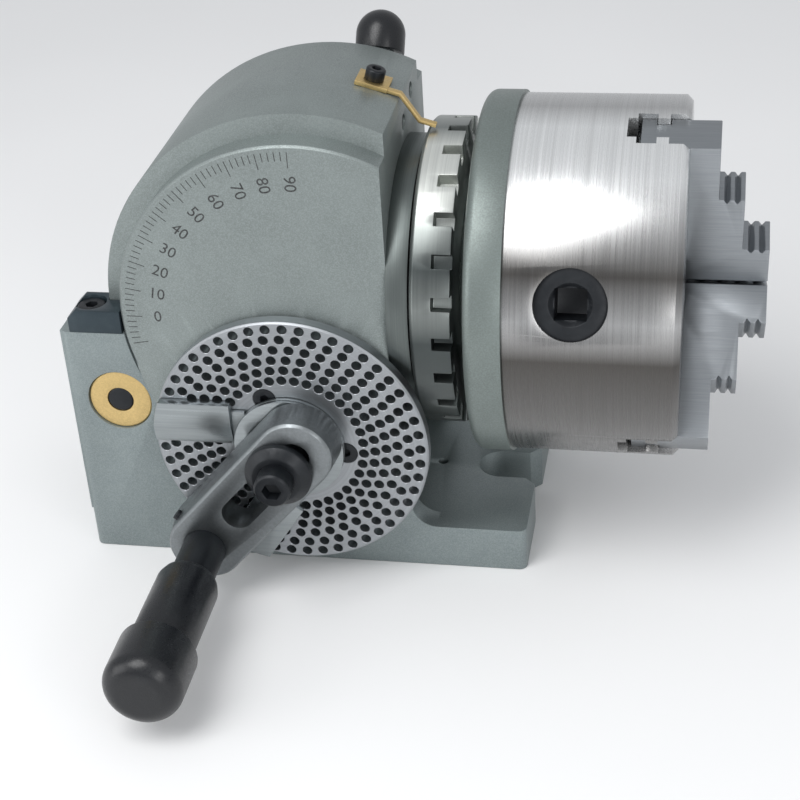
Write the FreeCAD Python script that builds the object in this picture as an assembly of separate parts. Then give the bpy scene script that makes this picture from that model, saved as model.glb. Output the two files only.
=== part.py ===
import FreeCAD, Part
import math
import os

# Dividing head, 100 mm centre height, with a 125 mm three-jaw scroll chuck.
# Millimetres, +Z up. The origin is on the underside of the base, straight below the
# crossing of the tilt axis (along Y) and the spindle axis (along +X, towards the chuck).

V = FreeCAD.Vector

# ---------------------------------------------------------------- fits and gaps
running_fit = 0.05        # radial clearance of a shaft that turns or slides in its bore
seat_fit = 0.02           # radial clearance of a piece that stays in its seat
body_gap = 0.3            # free gap between pieces that move past each other
tooth_backlash = 0.5      # gap left between gear flanks, on each side of a tooth

# ---------------------------------------------------------------- base
centre_height = 100.0
base_margin = 4.0         # base beyond the clamp blocks, at its left end
base_right = 75.0
base_half_width = 42.5
base_corner = 3.0
floor_thickness = 17.0
cheek_thickness = 9.3
cheek_drop = 7.5          # cheek tops below the tilt axis
cheek_right = 34.0
cheek_toe_radius = 9.0
clamp_post_width = 14.5   # corner posts that carry the clamp blocks, across Y
clamp_post_length = 28.0
slot_width = 17.0         # hold-down slots for the table's T-bolts
slot_right_depth = 22.5
slot_left_depth = 17.5
slot_mouth_flare = 4.0
key_seat_width = 14.0     # keyways under the base for table tenons
key_seat_length = 26.0
key_seat_depth = 4.0
key_seat_centres = (38.5, -48.0)
key_screw_radius = 2.0

cross_bolt_radius = 4.8   # bolt through both cheeks, which pinches them on the trunnions
cross_bolt_lean = 26.4999 # its direction from the tilt axis, below the level
cross_bolt_wall = 1.8649  # metal between the bolt or its bushes and the head
clamp_bush_radius = 11.8
clamp_bush_thickness = 3.0
clamp_bush_recess = 0.7
cross_bolt_hex = 4.0

clamp_block_length = 19.4
clamp_block_height = 8.6
clamp_block_bevel = 3.0
clamp_screw_clearance = 6.0   # from the drum to the screw's axis, along X
clamp_screw_end = 7.0     # from the block's left end to the screw's axis
clamp_screw_inset = 7.2   # from the outer face of the base to the screw's axis

# ---------------------------------------------------------------- swivelling housing
trunnion_radius = 65.0    # round side faces, which seat in the cheeks
drum_step = 7.0           # drum beyond the trunnion faces
nose_plane = 30.0
front_bore_radius = 38.0
wheel_cavity_left = -21.0
rear_bush_radius = 20.0
rear_recess_radius = 25.0
rear_recess_floor = -58.0
worm_boss_height = 5.0
worm_boss_front_y_radius = 45.0
worm_boss_foot_radius = 60.0

# ---------------------------------------------------------------- worm drive
gear_module = 1.75
wheel_teeth = 40
wheel_face_width = 12.0
worm_x = -5.7
worm_pitch_radius = 8.3
worm_turns = 5            # an odd number puts a thread groove on the wheel's centre plane
pressure_angle = 20.0
tooth_root_clearance = 0.45
wheel_bore_radius = 18.0
wheel_key_width = 5.0
wheel_key_height = 4.0

sleeve_radius = 14.0
sleeve_flange_radius = 25.0
sleeve_flange_thickness = 3.0
sleeve_nose_radius = 12.0
sleeve_inner_end = 20.0
worm_journal_radius = 8.0
worm_tail_radius = 6.0
worm_tail_end = 31.0

# ---------------------------------------------------------------- index plate, sector arms
plate_radius = 48.8
plate_thickness = 5.2
hole_counts = (37, 39, 41, 43, 47, 49)
hole_circle_outer = 46.0
hole_circle_step = 4.0
hole_radius = 1.7
plate_screw_circle = 19.7
plate_screw_turn = -23.0  # first screw, from +Z towards +X
plate_screw_radius = 2.4
plate_screw_head = 4.2

sector_ring_radius = 19.5
sector_ring_thickness = 1.4
sector_reach = 48.5
sector_arm_width = 17.0
sector_bevel_width = 8.0
sector_thickness = 3.5
sector_left_angle = 180.0
sector_right_angle = 236.0
retaining_ring_thickness = 0.7
retaining_ring_radius = 14.0

# ---------------------------------------------------------------- crank
crank_angle = 228.4       # direction of the crank seen from the front, from +X towards +Z
crank_thickness = 12.2
crank_end_radius = 13.2
crank_draft = 1.2         # how much wider the arm is at its back than at its front
crank_slot_half_width = 5.7
crank_slot_behind = 8.0   # slot centre beyond the worm shaft, away from the handle
crank_slot_ahead = 25.5
shaft_flat_half_width = 5.5
crank_washer_radius = 11.7
crank_washer_thickness = 5.0
crank_bolt_head_radius = 6.4
crank_bolt_head_height = 7.0
crank_bolt_radius = 3.9
crank_bolt_length = 18.0
crank_bolt_hex = 6.0

pin_tip_radius = 1.35
pin_tip_length = 8.0
pin_rod_radius = 2.6
pin_collar_radius = 4.4
pin_travel = 8.4
collar_stop = 6.5         # from the arm's back to the wall that stops the collar
barrel_radius = 7.7
barrel_reach = 28.5       # how far the barrel stands out of the arm
barrel_end_wall = 4.0
grip_start = 19.8         # from the arm to the grip, with the pin pulled out
grip_bore_depth = 18.0
grip_radius = 11.0
grip_length = 36.0
grip_cap_radius = 13.5
grip_cap_length = 24.0
grip_cap_rounding = 6.5
cap_bore_depth = 8.0      # how far the pin's rod reaches into the cap

# ---------------------------------------------------------------- spindle
spindle_bore_radius = 7.0
taper_mouth_radius = 8.9  # No. 2 Morse taper socket
taper_small_radius = 7.3
taper_depth = 64.0
rear_journal_radius = 16.0
front_journal_radius = 24.0
spindle_collar_radius = 30.0
ring_seat_radius = 26.0
nose_thread_radius = 19.0
nose_end = 74.0
rear_thread_radius = 13.0
spindle_rear_end = -68.0
front_bearing_left = 9.0
front_bearing_flange = 7.4
front_bearing_flange_radius = 48.0
front_bearing_screw_circle = 42.8
rear_nut_radius = 21.0
rear_nut_thickness = 7.5
wheel_nut_radius = 24.0
wheel_nut_thickness = 6.0

index_ring_radius = 54.2
index_ring_bevel = 1.2
index_ring_left = 38.9
index_ring_split = 46.3   # plain graduated band on the left, notches on the right
index_ring_right = 52.6
notch_count = 24
notch_width = 4.6
notch_depth = 5.5

# ---------------------------------------------------------------- chuck
back_plate_left = 57.6
back_plate_right = 70.3
back_plate_radius = 63.5
back_plate_rounding = 3.5
back_plate_hub_radius = 32.0
back_bolt_circle = 56.0
chuck_radius = 62.5
chuck_face = 127.7
chuck_rim_bevel = 2.0
chuck_bore_radius = 16.0
chuck_cavity_radius = 50.0
chuck_cavity_front = 111.5
chuck_hub_radius = 20.0
chuck_hub_back = 83.0
cover_thickness = 10.5

jaw_angle = 102.0         # first jaw, from +Y towards +Z
jaw_count = 3
jaw_rest_radius = 2.2
jaw_nose_half_width = 2.5
jaw_step_ends = (19.0, 39.5, 60.0)
jaw_step_heights = (27.5, 18.5, 10.0)
jaw_width = 16.0
jaw_tongue_depth = 3.0
jaw_tongue_width = 4.0
jaw_tongue_back = 117.0
jaw_tooth_half = 5.0      # half width of the teeth on the jaw's back
grip_groove_depth = 1.6
grip_groove_count = 4
step_groove_count = 2

scroll_pitch = 6.0
scroll_ridge_width = 2.6
scroll_ridge_height = 4.1
scroll_first_radius = 22.6
scroll_last_radius = 46.6
scroll_radius = 48.0
scroll_front = 107.4
scroll_tooth_count = 45
pinion_tooth_count = 10
bevel_mean_radius = 36.0
bevel_inner = 30.0
bevel_outer = 42.0
pinion_x = 92.6
pinion_head_radius = 12.0
pinion_head_outer = 60.6
pinion_neck_radius = 9.3
pinion_square = 10.5
pinion_socket_depth = 13.0

# ---------------------------------------------------------------- small parts on the head
pointer_centre_x = 20.5
pointer_y = 2.0
pointer_length = 11.5
pointer_width = 11.0
pointer_thickness = 1.6
pointer_arm_width = 2.6
pointer_overhang = 0.0382 # where the arm bends, beyond the nose plane
lock_screw_x = 14.0
lock_screw_lean = 53.0    # from +Y towards +Z
lock_screw_radius = 5.0
lock_knob_start = 78.2
lock_knob_radius = 9.0
bracket_height = 34.0
bracket_thread_wall = 1.50666 #  metal between the bracket screws and the front bore
bracket_screw_radius = 2.5
bracket_left = 4.0
bracket_thickness = 10.6
bracket_ring_gap = 1.2
plunger_x = 49.6
plunger_tip_radius = 2.0
plunger_rod_radius = 3.5
plunger_travel = 5.0

# ---------------------------------------------------------------- worked-out sizes
drum_radius = trunnion_radius + drum_step
clamp_screw_x = -drum_radius - clamp_screw_clearance
clamp_block_left = clamp_screw_x - clamp_screw_end
clamp_block_right = clamp_block_left + clamp_block_length
base_left = clamp_block_left - base_margin
cheek_top = centre_height - cheek_drop
cross_bolt_distance = cross_bolt_wall + max(drum_radius + cross_bolt_radius,
                                            trunnion_radius + clamp_bush_radius)
cross_bolt_x = -cross_bolt_distance * math.cos(math.radians(cross_bolt_lean))
cross_bolt_z = centre_height - cross_bolt_distance * math.sin(math.radians(cross_bolt_lean))
cheek_inner = base_half_width - cheek_thickness
drum_half_width = cheek_inner - body_gap
wheel_pitch_radius = gear_module * wheel_teeth / 2
worm_lead = math.pi * gear_module
worm_z = centre_height - wheel_pitch_radius - worm_pitch_radius
worm_at = (worm_x, worm_z)
spindle_at = (0.0, centre_height)
tilt_at = (0.0, centre_height)
boss_front_y = -base_half_width - worm_boss_height
plate_back_y = boss_front_y - body_gap
plate_front_y = plate_back_y - plate_thickness
ring_stack = 3 * body_gap + 2 * sector_ring_thickness + retaining_ring_thickness
crank_back_y = plate_front_y - max(ring_stack, body_gap + sector_thickness) - 2 * body_gap
crank_front_y = crank_back_y - crank_thickness
pin_x = worm_x + hole_circle_outer * math.cos(math.radians(crank_angle))
pin_z = worm_z + hole_circle_outer * math.sin(math.radians(crank_angle))
pin_at = (pin_x, pin_z)
bracket_inner_y = index_ring_radius + bracket_ring_gap
bracket_outer_y = max(bracket_inner_y, base_half_width) + bracket_thickness
bracket_screw_spread = bracket_height / 2 - 2 * bracket_screw_radius
bracket_thread_end = bracket_thread_wall + math.sqrt(
    front_bore_radius ** 2 - (bracket_screw_spread - bracket_screw_radius) ** 2)


# ---------------------------------------------------------------- shaping helpers
def point(axis, along, at, out=0.0):
    """A point at `along` on an axis, `out` away from it towards +Z (or +X for a Z axis)."""
    if axis == "x":
        return V(along, at[0], at[1] + out)
    if axis == "y":
        return V(at[0], along, at[1] + out)
    return V(at[0] + out, at[1], along)


DIRECTIONS = {"x": V(1, 0, 0), "y": V(0, 1, 0), "z": V(0, 0, 1)}


def rod(axis, radius, start, end, at):
    """Cylinder along an axis; `at` holds the two other coordinates."""
    low, high = min(start, end), max(start, end)
    return Part.makeCylinder(radius, high - low, point(axis, low, at), DIRECTIONS[axis])


def tube(axis, outer, inner, start, end, at):
    return rod(axis, outer, start, end, at).cut(rod(axis, inner, start, end, at))


def block(x0, x1, y0, y1, z0, z1):
    low = V(min(x0, x1), min(y0, y1), min(z0, z1))
    return Part.makeBox(abs(x1 - x0), abs(y1 - y0), abs(z1 - z0), low)


def turned(axis, outline, at):
    """Lathe form from (along, radius) points."""
    corners = [point(axis, along, at, radius) for along, radius in outline]
    face = Part.Face(Part.makePolygon(corners + corners[:1]))
    return face.revolve(point(axis, 0, at), DIRECTIONS[axis], 360)


def prism(corners, depth):
    """Straight solid over a flat outline; depth is a vector."""
    return Part.Face(Part.makePolygon(corners + corners[:1])).extrude(depth)


def rotated(shape, axis, degrees, at):
    turned_copy = shape.copy()
    turned_copy.rotate(point(axis, 0, at), DIRECTIONS[axis], degrees)
    return turned_copy


def ring_of(shape, count, axis, at, first=0.0):
    return [rotated(shape, axis, first + 360.0 * k / count, at) for k in range(count)]


def joined(shapes):
    return shapes[0].multiFuse(shapes[1:]).removeSplitter()


def group(shapes):
    return Part.makeCompound(shapes)


def placed(shape, origin, along, across=None):
    """Move a shape drawn at the origin so that its +Z points along a direction (and +X across)."""
    if across is None:
        turn = FreeCAD.Rotation(V(0, 0, 1), along)
    else:
        turn = FreeCAD.Rotation(across, along.cross(across), along, "ZXY")
    moved = shape.copy()
    moved.Placement = FreeCAD.Placement(origin, turn)
    return moved


def hexagon(across_flats, start, end):
    radius = across_flats / math.sqrt(3)
    corners = [V(radius * math.cos(k * math.pi / 3), radius * math.sin(k * math.pi / 3), start)
               for k in range(6)]
    return prism(corners, V(0, 0, end - start))


def cap_screw(head_radius, head_height, shank_radius, shank_length, socket):
    """Socket-head screw: head above z = 0, shank below."""
    head = Part.makeCylinder(head_radius, head_height)
    rim = [e for e in head.Edges if abs(e.CenterOfMass.z - head_height) < 1e-6]
    head = head.makeChamfer(head_radius * 0.12, rim)
    shank = Part.makeCylinder(shank_radius, shank_length, V(0, 0, -shank_length))
    return head.fuse(shank).cut(hexagon(socket, head_height * 0.4, head_height + 1)).removeSplitter()


def softened(shape, size, wanted, chamfer=True):
    """Bevel or round every edge for which `wanted` says yes."""
    edges = [e for e in shape.Edges if wanted(e)]
    return shape.makeChamfer(size, edges) if chamfer else shape.makeFillet(size, edges)


def is_rim(axis, along, radius):
    """Picks round edges of one radius at one place along an axis."""
    def wanted(edge):
        curve = edge.Curve
        if not isinstance(curve, Part.Circle) or abs(curve.Radius - radius) > 1e-4:
            return False
        return abs(getattr(curve.Center, axis) - along) < 1e-4
    return wanted


def sides(shape):
    """The shape and its mirror image across the spindle's vertical plane."""
    return [shape, shape.mirror(V(0, 0, 0), V(0, 1, 0))]


# ---------------------------------------------------------------- base
def hold_down_slot(mouth_x, depth, direction):
    """Open-ended slot with a flared mouth, cut down through the floor."""
    half = slot_width / 2
    closed_x = mouth_x - direction * depth
    centre_x = closed_x + direction * half
    over = mouth_x + direction
    slot = block(centre_x, over, -half, half, -1, floor_thickness + 1)
    slot = slot.fuse(rod("z", half, -1, floor_thickness + 1, (centre_x, 0)))
    flare = prism([V(mouth_x - direction * slot_mouth_flare, half, -1),
                   V(mouth_x, half + slot_mouth_flare, -1),
                   V(over, half + slot_mouth_flare, -1),
                   V(over, -half - slot_mouth_flare, -1),
                   V(mouth_x, -half - slot_mouth_flare, -1),
                   V(mouth_x - direction * slot_mouth_flare, -half, -1)],
                  V(0, 0, floor_thickness + 2))
    return slot.fuse(flare)


def base_casting():
    floor = block(base_left, base_right, -base_half_width, base_half_width, 0, floor_thickness)
    upright = [e for e in floor.Edges if abs(e.tangentAt(e.FirstParameter).z) > 0.9]
    floor = floor.makeFillet(base_corner, upright)
    cheek = block(base_left, cheek_right, -base_half_width, -cheek_inner, 0, cheek_top)
    outer_left = [e for e in cheek.Edges if abs(e.CenterOfMass.x - base_left) < 1e-6
                  and abs(e.CenterOfMass.y + base_half_width) < 1e-6]
    cheek = cheek.makeFillet(base_corner, outer_left)
    toe = block(cheek_right, cheek_right + cheek_toe_radius, -base_half_width, -cheek_inner,
                floor_thickness - 1, floor_thickness + cheek_toe_radius)
    toe = toe.cut(rod("y", cheek_toe_radius, -base_half_width, -cheek_inner,
                      (cheek_right + cheek_toe_radius, floor_thickness + cheek_toe_radius)))
    cheek = cheek.fuse(toe)
    cheek = cheek.cut(rod("y", trunnion_radius + body_gap, -base_half_width, -cheek_inner, tilt_at))
    post = block(base_left, base_left + clamp_post_length, -base_half_width + 1,
                 clamp_post_width - base_half_width, floor_thickness - 1, cheek_top)
    post = post.cut(rod("y", drum_radius + body_gap, -cheek_inner, 0, tilt_at))
    post = post.cut(rod("y", trunnion_radius + body_gap, -base_half_width, -cheek_inner, tilt_at))
    bush_seat = rod("y", clamp_bush_radius + seat_fit, -base_half_width,
                    clamp_bush_thickness + clamp_bush_recess - base_half_width,
                    (cross_bolt_x, cross_bolt_z))
    screw_hole = rod("z", 2.5 + seat_fit, cheek_top - 14, cheek_top,
                     (clamp_screw_x, clamp_screw_inset - base_half_width))
    parts = [floor] + sides(cheek) + sides(post)
    casting = joined(parts)
    for cutter in sides(bush_seat) + sides(screw_hole):
        casting = casting.cut(cutter)
    casting = casting.cut(rod("y", cross_bolt_radius + seat_fit, -base_half_width, base_half_width,
                              (cross_bolt_x, cross_bolt_z)))
    casting = casting.cut(hold_down_slot(base_right, slot_right_depth, 1))
    casting = casting.cut(hold_down_slot(base_left, slot_left_depth, -1))
    for key_x in key_seat_centres:
        half_length, half_width = key_seat_length / 2, key_seat_width / 2
        casting = casting.cut(block(key_x - half_length, key_x + half_length,
                                    -half_width, half_width, -1, key_seat_depth))
        casting = casting.cut(rod("z", key_screw_radius, 0, floor_thickness + 1, (key_x, 0)))
    return casting


def clamp_bushes():
    """Bronze discs let into the cheeks round the cross bolt."""
    outer_face = clamp_bush_recess - base_half_width
    bush = tube("y", clamp_bush_radius, cross_bolt_radius + seat_fit, outer_face,
                outer_face + clamp_bush_thickness, (cross_bolt_x, cross_bolt_z))
    bush = softened(bush, 0.6, is_rim("y", outer_face, clamp_bush_radius))
    return group(sides(bush))


def cross_clamp_bolt():
    end = base_half_width - clamp_bush_recess
    bolt = rod("y", cross_bolt_radius, -end, end, (cross_bolt_x, cross_bolt_z))
    socket = placed(hexagon(cross_bolt_hex, 0, 3), V(cross_bolt_x, end - 3, cross_bolt_z), V(0, 1, 0))
    return softened(bolt.cut(socket), 0.5, is_rim("y", -end, cross_bolt_radius))


def clamp_blocks():
    """Steel blocks on the cheek tops, relieved to clear the drum and the trunnions."""
    outer, inner = -base_half_width, clamp_post_width - base_half_width
    top = cheek_top + clamp_block_height
    body = block(clamp_block_left, clamp_block_right, outer, inner, cheek_top, top)
    edge = [e for e in body.Edges if abs(e.CenterOfMass.x - clamp_block_left) < 1e-6
            and abs(e.CenterOfMass.z - top) < 1e-6]
    body = body.makeChamfer(clamp_block_bevel, edge)
    body = body.cut(rod("y", drum_radius + body_gap, -cheek_inner, inner, tilt_at))
    body = body.cut(rod("y", trunnion_radius + body_gap, outer, -cheek_inner, tilt_at))
    at = (clamp_screw_x, clamp_screw_inset - base_half_width)
    body = body.cut(rod("z", 2.5 + seat_fit, cheek_top, top, at))
    body = body.cut(rod("z", 5.5, top - 6.5, top, at))
    return group(sides(body))


def clamp_block_screws():
    top = cheek_top + clamp_block_height
    screw = placed(cap_screw(5.2, 5.5, 2.5, 14.0, 4.0),
                   V(clamp_screw_x, clamp_screw_inset - base_half_width, top - 6.5), V(0, 0, 1))
    return group(sides(screw))


# ---------------------------------------------------------------- swivelling head
def pointer_normal():
    """Outward direction of the drum where the pointer plate sits."""
    lean = math.asin(pointer_centre_x / drum_radius)
    return V(math.sin(lean), 0, math.cos(lean))


def lock_direction():
    lean = math.radians(lock_screw_lean)
    return V(0, math.cos(lean), math.sin(lean))


def lock_rod(radius, start, end):
    """Cylinder on the spindle lock screw's axis, measured from the spindle axis."""
    axis = lock_direction()
    return Part.makeCylinder(radius, end - start, V(lock_screw_x, 0, centre_height) + axis * start, axis)


nose_screw_places = ((19.0, centre_height + 60.0), (3.0, centre_height + 54.5))


def swivel_housing():
    drum = rod("y", drum_radius, -drum_half_width, drum_half_width, tilt_at)
    trunnions = rod("y", trunnion_radius, -base_half_width, base_half_width, tilt_at)
    boss = turned("y", [(-base_half_width + 1, 0), (-base_half_width + 1, worm_boss_foot_radius),
                        (-base_half_width, worm_boss_foot_radius),
                        (boss_front_y, worm_boss_front_y_radius), (boss_front_y, 0)], worm_at)
    boss = boss.common(rod("y", trunnion_radius, boss_front_y, 0, tilt_at))
    body = joined([drum, trunnions, boss])
    reach = drum_radius + 1
    body = body.cut(block(nose_plane, reach, -reach, reach, centre_height - reach, centre_height + reach))
    body = softened(body, 0.8, is_rim("y", -base_half_width, trunnion_radius))
    cutters = [
        rod("x", front_bore_radius + seat_fit, wheel_cavity_left, nose_plane, spindle_at),
        rod("x", rear_bush_radius + seat_fit, rear_recess_floor, wheel_cavity_left, spindle_at),
        rod("x", rear_recess_radius, -reach, rear_recess_floor, spindle_at),
        rod("y", sleeve_radius + seat_fit, boss_front_y, sleeve_inner_end, worm_at),
        rod("y", sleeve_flange_radius + seat_fit, boss_front_y, boss_front_y + sleeve_flange_thickness, worm_at),
        rod("y", worm_tail_radius + running_fit, sleeve_inner_end, worm_tail_end + 0.5, worm_at),
        lock_rod(lock_screw_radius + running_fit, front_bore_radius - 2, reach + 20),
    ]
    for y, z in nose_screw_places:
        cutters.append(rod("x", 2.9 + seat_fit, nose_plane - 8, nose_plane, (y, z)))
    normal = pointer_normal()
    cutters.append(Part.makeCylinder(2 + seat_fit, 10,
                                     V(0, pointer_y, centre_height) + normal * (drum_radius - 9), normal))
    for at in bracket_screw_places():
        cutters.append(rod("y", bracket_screw_radius + seat_fit, bracket_thread_end, base_half_width, at))
    return body.cut(cutters)


def bracket_screw_places():
    return [(bracket_left + 8, centre_height + side * bracket_screw_spread) for side in (-1, 1)]


def front_bearing():
    """Flanged sleeve that closes the gear cavity and carries the spindle's front journal."""
    outline = [(front_bearing_left, front_journal_radius + running_fit),
               (front_bearing_left, front_bore_radius),
               (nose_plane, front_bore_radius),
               (nose_plane, front_bearing_flange_radius),
               (nose_plane + front_bearing_flange, front_bearing_flange_radius),
               (nose_plane + front_bearing_flange, front_journal_radius + running_fit)]
    body = turned("x", outline, spindle_at)
    screw_hole = rod("x", 4.4, nose_plane + front_bearing_flange - 5.6,
                     nose_plane + front_bearing_flange, (0, centre_height + front_bearing_screw_circle))
    body = body.cut(ring_of(screw_hole, 4, "x", spindle_at, 45))
    return body.cut(lock_rod(lock_screw_radius + running_fit, front_journal_radius - 2,
                             front_bore_radius + 2))


def front_bearing_screws():
    seat_x = nose_plane + front_bearing_flange - 5.4
    head = placed(cap_screw(4.2, 4.6, 2.4, 1.6, 4.0),
                  V(seat_x, 0, centre_height + front_bearing_screw_circle), V(1, 0, 0))
    head = head.common(rod("x", 6, seat_x - 0.2, seat_x + 5, (0, centre_height + front_bearing_screw_circle)))
    return group(ring_of(head, 4, "x", spindle_at, 45))


def rear_bush():
    """Bronze bush for the spindle's rear journal."""
    return tube("x", rear_bush_radius, rear_journal_radius + running_fit,
                rear_recess_floor, wheel_cavity_left, spindle_at)


def nose_set_screws():
    screws = []
    for y, z in nose_screw_places:
        body = rod("x", 2.9, nose_plane - 8, nose_plane - 0.8, (y, z))
        screws.append(body.cut(placed(hexagon(3.0, 0, 4), V(nose_plane - 3.8, y, z), V(1, 0, 0))))
    return group(screws)


def worm_sleeve():
    """Flanged quill: carries the worm shaft, the index plate and the sector arms."""
    nose_end_y = crank_back_y + body_gap
    worm_clear = worm_pitch_radius + gear_module + 0.45
    body = joined([rod("y", sleeve_radius, boss_front_y, sleeve_inner_end, worm_at),
                   rod("y", sleeve_flange_radius, boss_front_y, boss_front_y + sleeve_flange_thickness, worm_at),
                   rod("y", sleeve_nose_radius, nose_end_y, boss_front_y, worm_at)])
    body = body.cut(rod("y", worm_journal_radius + running_fit, nose_end_y, sleeve_inner_end, worm_at))
    body = body.cut(rod("y", worm_clear, worm_half_length() * -1 - 2, sleeve_inner_end, worm_at))
    half = wheel_face_width / 2 + 0.8
    body = body.cut(rod("x", wheel_pitch_radius + gear_module + 0.8, worm_x - half, worm_x + half, spindle_at))
    body = body.cut(rod("x", front_bore_radius + seat_fit, front_bearing_left - 0.5, nose_plane, spindle_at))
    holes = rod("y", plate_screw_radius + seat_fit, boss_front_y, boss_front_y + sleeve_flange_thickness,
                (worm_x, worm_z + plate_screw_circle))
    return body.cut(ring_of(holes, 3, "y", worm_at, plate_screw_turn))


def worm_half_length():
    return (worm_turns * worm_lead + worm_lead) / 2


def index_plate():
    """Disc with six circles of index holes; the holes are drawn as hexagons to keep it light."""
    disc = tube("y", plate_radius, sleeve_nose_radius + seat_fit, plate_front_y, plate_back_y, worm_at)
    disc = softened(disc, 0.5, is_rim("y", plate_front_y, plate_radius))
    outline = hexagon(hole_radius * math.sqrt(3), 0, plate_thickness + 1)
    tools = []
    for circle, count in enumerate(hole_counts):
        radius = hole_circle_outer - hole_circle_step * (len(hole_counts) - 1 - circle)
        hole = placed(outline, V(worm_x + radius, plate_front_y - 0.5, worm_z), V(0, 1, 0))
        tools += ring_of(hole, count, "y", worm_at, -crank_angle)
    seat = turned("y", [(plate_front_y, 0), (plate_front_y, plate_screw_head + 0.1),
                        (plate_front_y + 2.3, plate_screw_radius + seat_fit),
                        (plate_back_y, plate_screw_radius + seat_fit), (plate_back_y, 0)],
                  (worm_x, worm_z + plate_screw_circle))
    tools += ring_of(seat, 3, "y", worm_at, plate_screw_turn)
    return disc.cut(tools)


def index_plate_screws():
    """Countersunk screws that hold the plate on the sleeve's flange."""
    top = plate_front_y + 0.1
    screw = turned("y", [(top, 0), (top, plate_screw_head - 0.1), (top + 2.2, plate_screw_radius),
                         (plate_back_y + 2.5, plate_screw_radius), (plate_back_y + 2.5, 0)],
                   (worm_x, worm_z + plate_screw_circle))
    socket = placed(hexagon(3.0, 0, 2.0), V(worm_x, top, worm_z + plate_screw_circle), V(0, 1, 0))
    return group(ring_of(screw.cut(socket), 3, "y", worm_at, plate_screw_turn))


def sector_arm(ring_front, angle, side):
    """One sector arm: a thin ring round the sleeve's nose and a bevelled finger.

    The finger's bevelled edge lies on the ring's radial line; side +1 puts the
    finger on the far side of that line, turning from +X towards +Z.
    """
    ring_back = ring_front + sector_ring_thickness
    back = plate_front_y - body_gap
    front = back - sector_thickness
    ring = tube("y", sector_ring_radius, sleeve_nose_radius + running_fit, ring_front, ring_back, worm_at)
    root = sector_ring_radius + body_gap
    finger = prism([V(worm_x + root, back, worm_z),
                    V(worm_x + sector_reach, back, worm_z),
                    V(worm_x + sector_reach, back - 0.9, worm_z),
                    V(worm_x + root, back - 0.9, worm_z)],
                   V(0, 0, side * sector_bevel_width))
    wedge = prism([V(worm_x + root, back, worm_z),
                   V(worm_x + root, back - 0.9, worm_z),
                   V(worm_x + root, front, worm_z + side * sector_bevel_width),
                   V(worm_x + root, front, worm_z + side * sector_arm_width),
                   V(worm_x + root, back, worm_z + side * sector_arm_width)],
                  V(sector_reach - root, 0, 0))
    neck = prism([V(worm_x + sleeve_nose_radius + 3, ring_front, worm_z),
                  V(worm_x + root + 1, ring_front, worm_z),
                  V(worm_x + root + 1, ring_back, worm_z),
                  V(worm_x + sleeve_nose_radius + 3, ring_back, worm_z)],
                 V(0, 0, side * sector_arm_width * 0.8))
    neck = neck.cut(rod("y", sleeve_nose_radius + 1, ring_front, ring_back, worm_at))
    wedge = wedge.fuse(finger)
    corner = rod("y", sector_reach, front - 1, back + 1, worm_at)
    arm = joined([ring, neck, wedge.common(corner)])
    return rotated(arm, "y", -angle, worm_at)


def sector_arm_left():
    return sector_arm(plate_front_y - body_gap - sector_ring_thickness, sector_left_angle, -1)


def sector_arm_right():
    return sector_arm(plate_front_y - 2 * body_gap - 2 * sector_ring_thickness, sector_right_angle, 1)


def retaining_ring():
    """Split spring ring that keeps the sector arms on the sleeve."""
    back = plate_front_y - 3 * body_gap - 2 * sector_ring_thickness
    ring = tube("y", retaining_ring_radius, sleeve_nose_radius + seat_fit,
                back - retaining_ring_thickness, back, worm_at)
    gap = block(worm_x, worm_x + retaining_ring_radius + 1, back - 2, back + 1, worm_z - 2, worm_z + 2)
    return ring.cut(rotated(gap, "y", -70, worm_at))


def pointer_plate():
    """Brass plate on the drum with a bent arm that ends over the graduated ring."""
    lean = math.degrees(math.asin(pointer_centre_x / drum_radius))
    half_length, half_width = pointer_length / 2, pointer_width / 2
    top = drum_radius + pointer_thickness
    flat = block(-half_length, half_length, pointer_y - half_width, pointer_y + half_width,
                 centre_height + drum_radius, centre_height + top)
    flat = flat.cut(rod("z", 2 + seat_fit, centre_height, centre_height + top, (0, pointer_y)))
    flat = rotated(flat, "y", lean, tilt_at)
    ring_top = centre_height + index_ring_radius
    start = pointer_normal() * (top - pointer_thickness) + V(0, 0, centre_height)
    along = V(pointer_normal().z, 0, -pointer_normal().x)
    first = start + along * (half_length - 2)
    second = start + along * ((nose_plane + pointer_overhang - pointer_centre_x) / along.x)
    third = V(index_ring_left - 2.6, 0, ring_top + 2.6)
    fourth = V(index_ring_left + 3.2, 0, ring_top + 0.9)
    route = [(first.x, first.z), (second.x, second.z), (third.x, third.z), (fourth.x, fourth.z)]
    arm = bent_strip(route, pointer_thickness * 0.8, pointer_y - half_width + 0.6, pointer_arm_width)
    return flat.fuse(arm).removeSplitter()


def bent_strip(route, thickness, y, width):
    """Flat strip along (x, z) points: the route is its underside."""
    lower = [V(x, y, z) for x, z in route]
    normals = []
    for a, b in zip(route, route[1:]):
        length = math.hypot(b[0] - a[0], b[1] - a[1])
        normals.append(((a[1] - b[1]) / length, (b[0] - a[0]) / length))
    upper = []
    for k, (x, z) in enumerate(route):
        before, after = normals[max(k - 1, 0)], normals[min(k, len(normals) - 1)]
        nx, nz = before[0] + after[0], before[1] + after[1]
        scale = 2 * thickness / (nx * nx + nz * nz)
        upper.append(V(x + nx * scale, y, z + nz * scale))
    return prism(lower + upper[::-1], V(0, width, 0))


def pointer_screw():
    normal = pointer_normal()
    seat = V(0, pointer_y, centre_height) + normal * (drum_radius + pointer_thickness)
    return placed(cap_screw(3.4, 4.0, 2.0, 9.0, 3.0), seat, normal)


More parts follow.
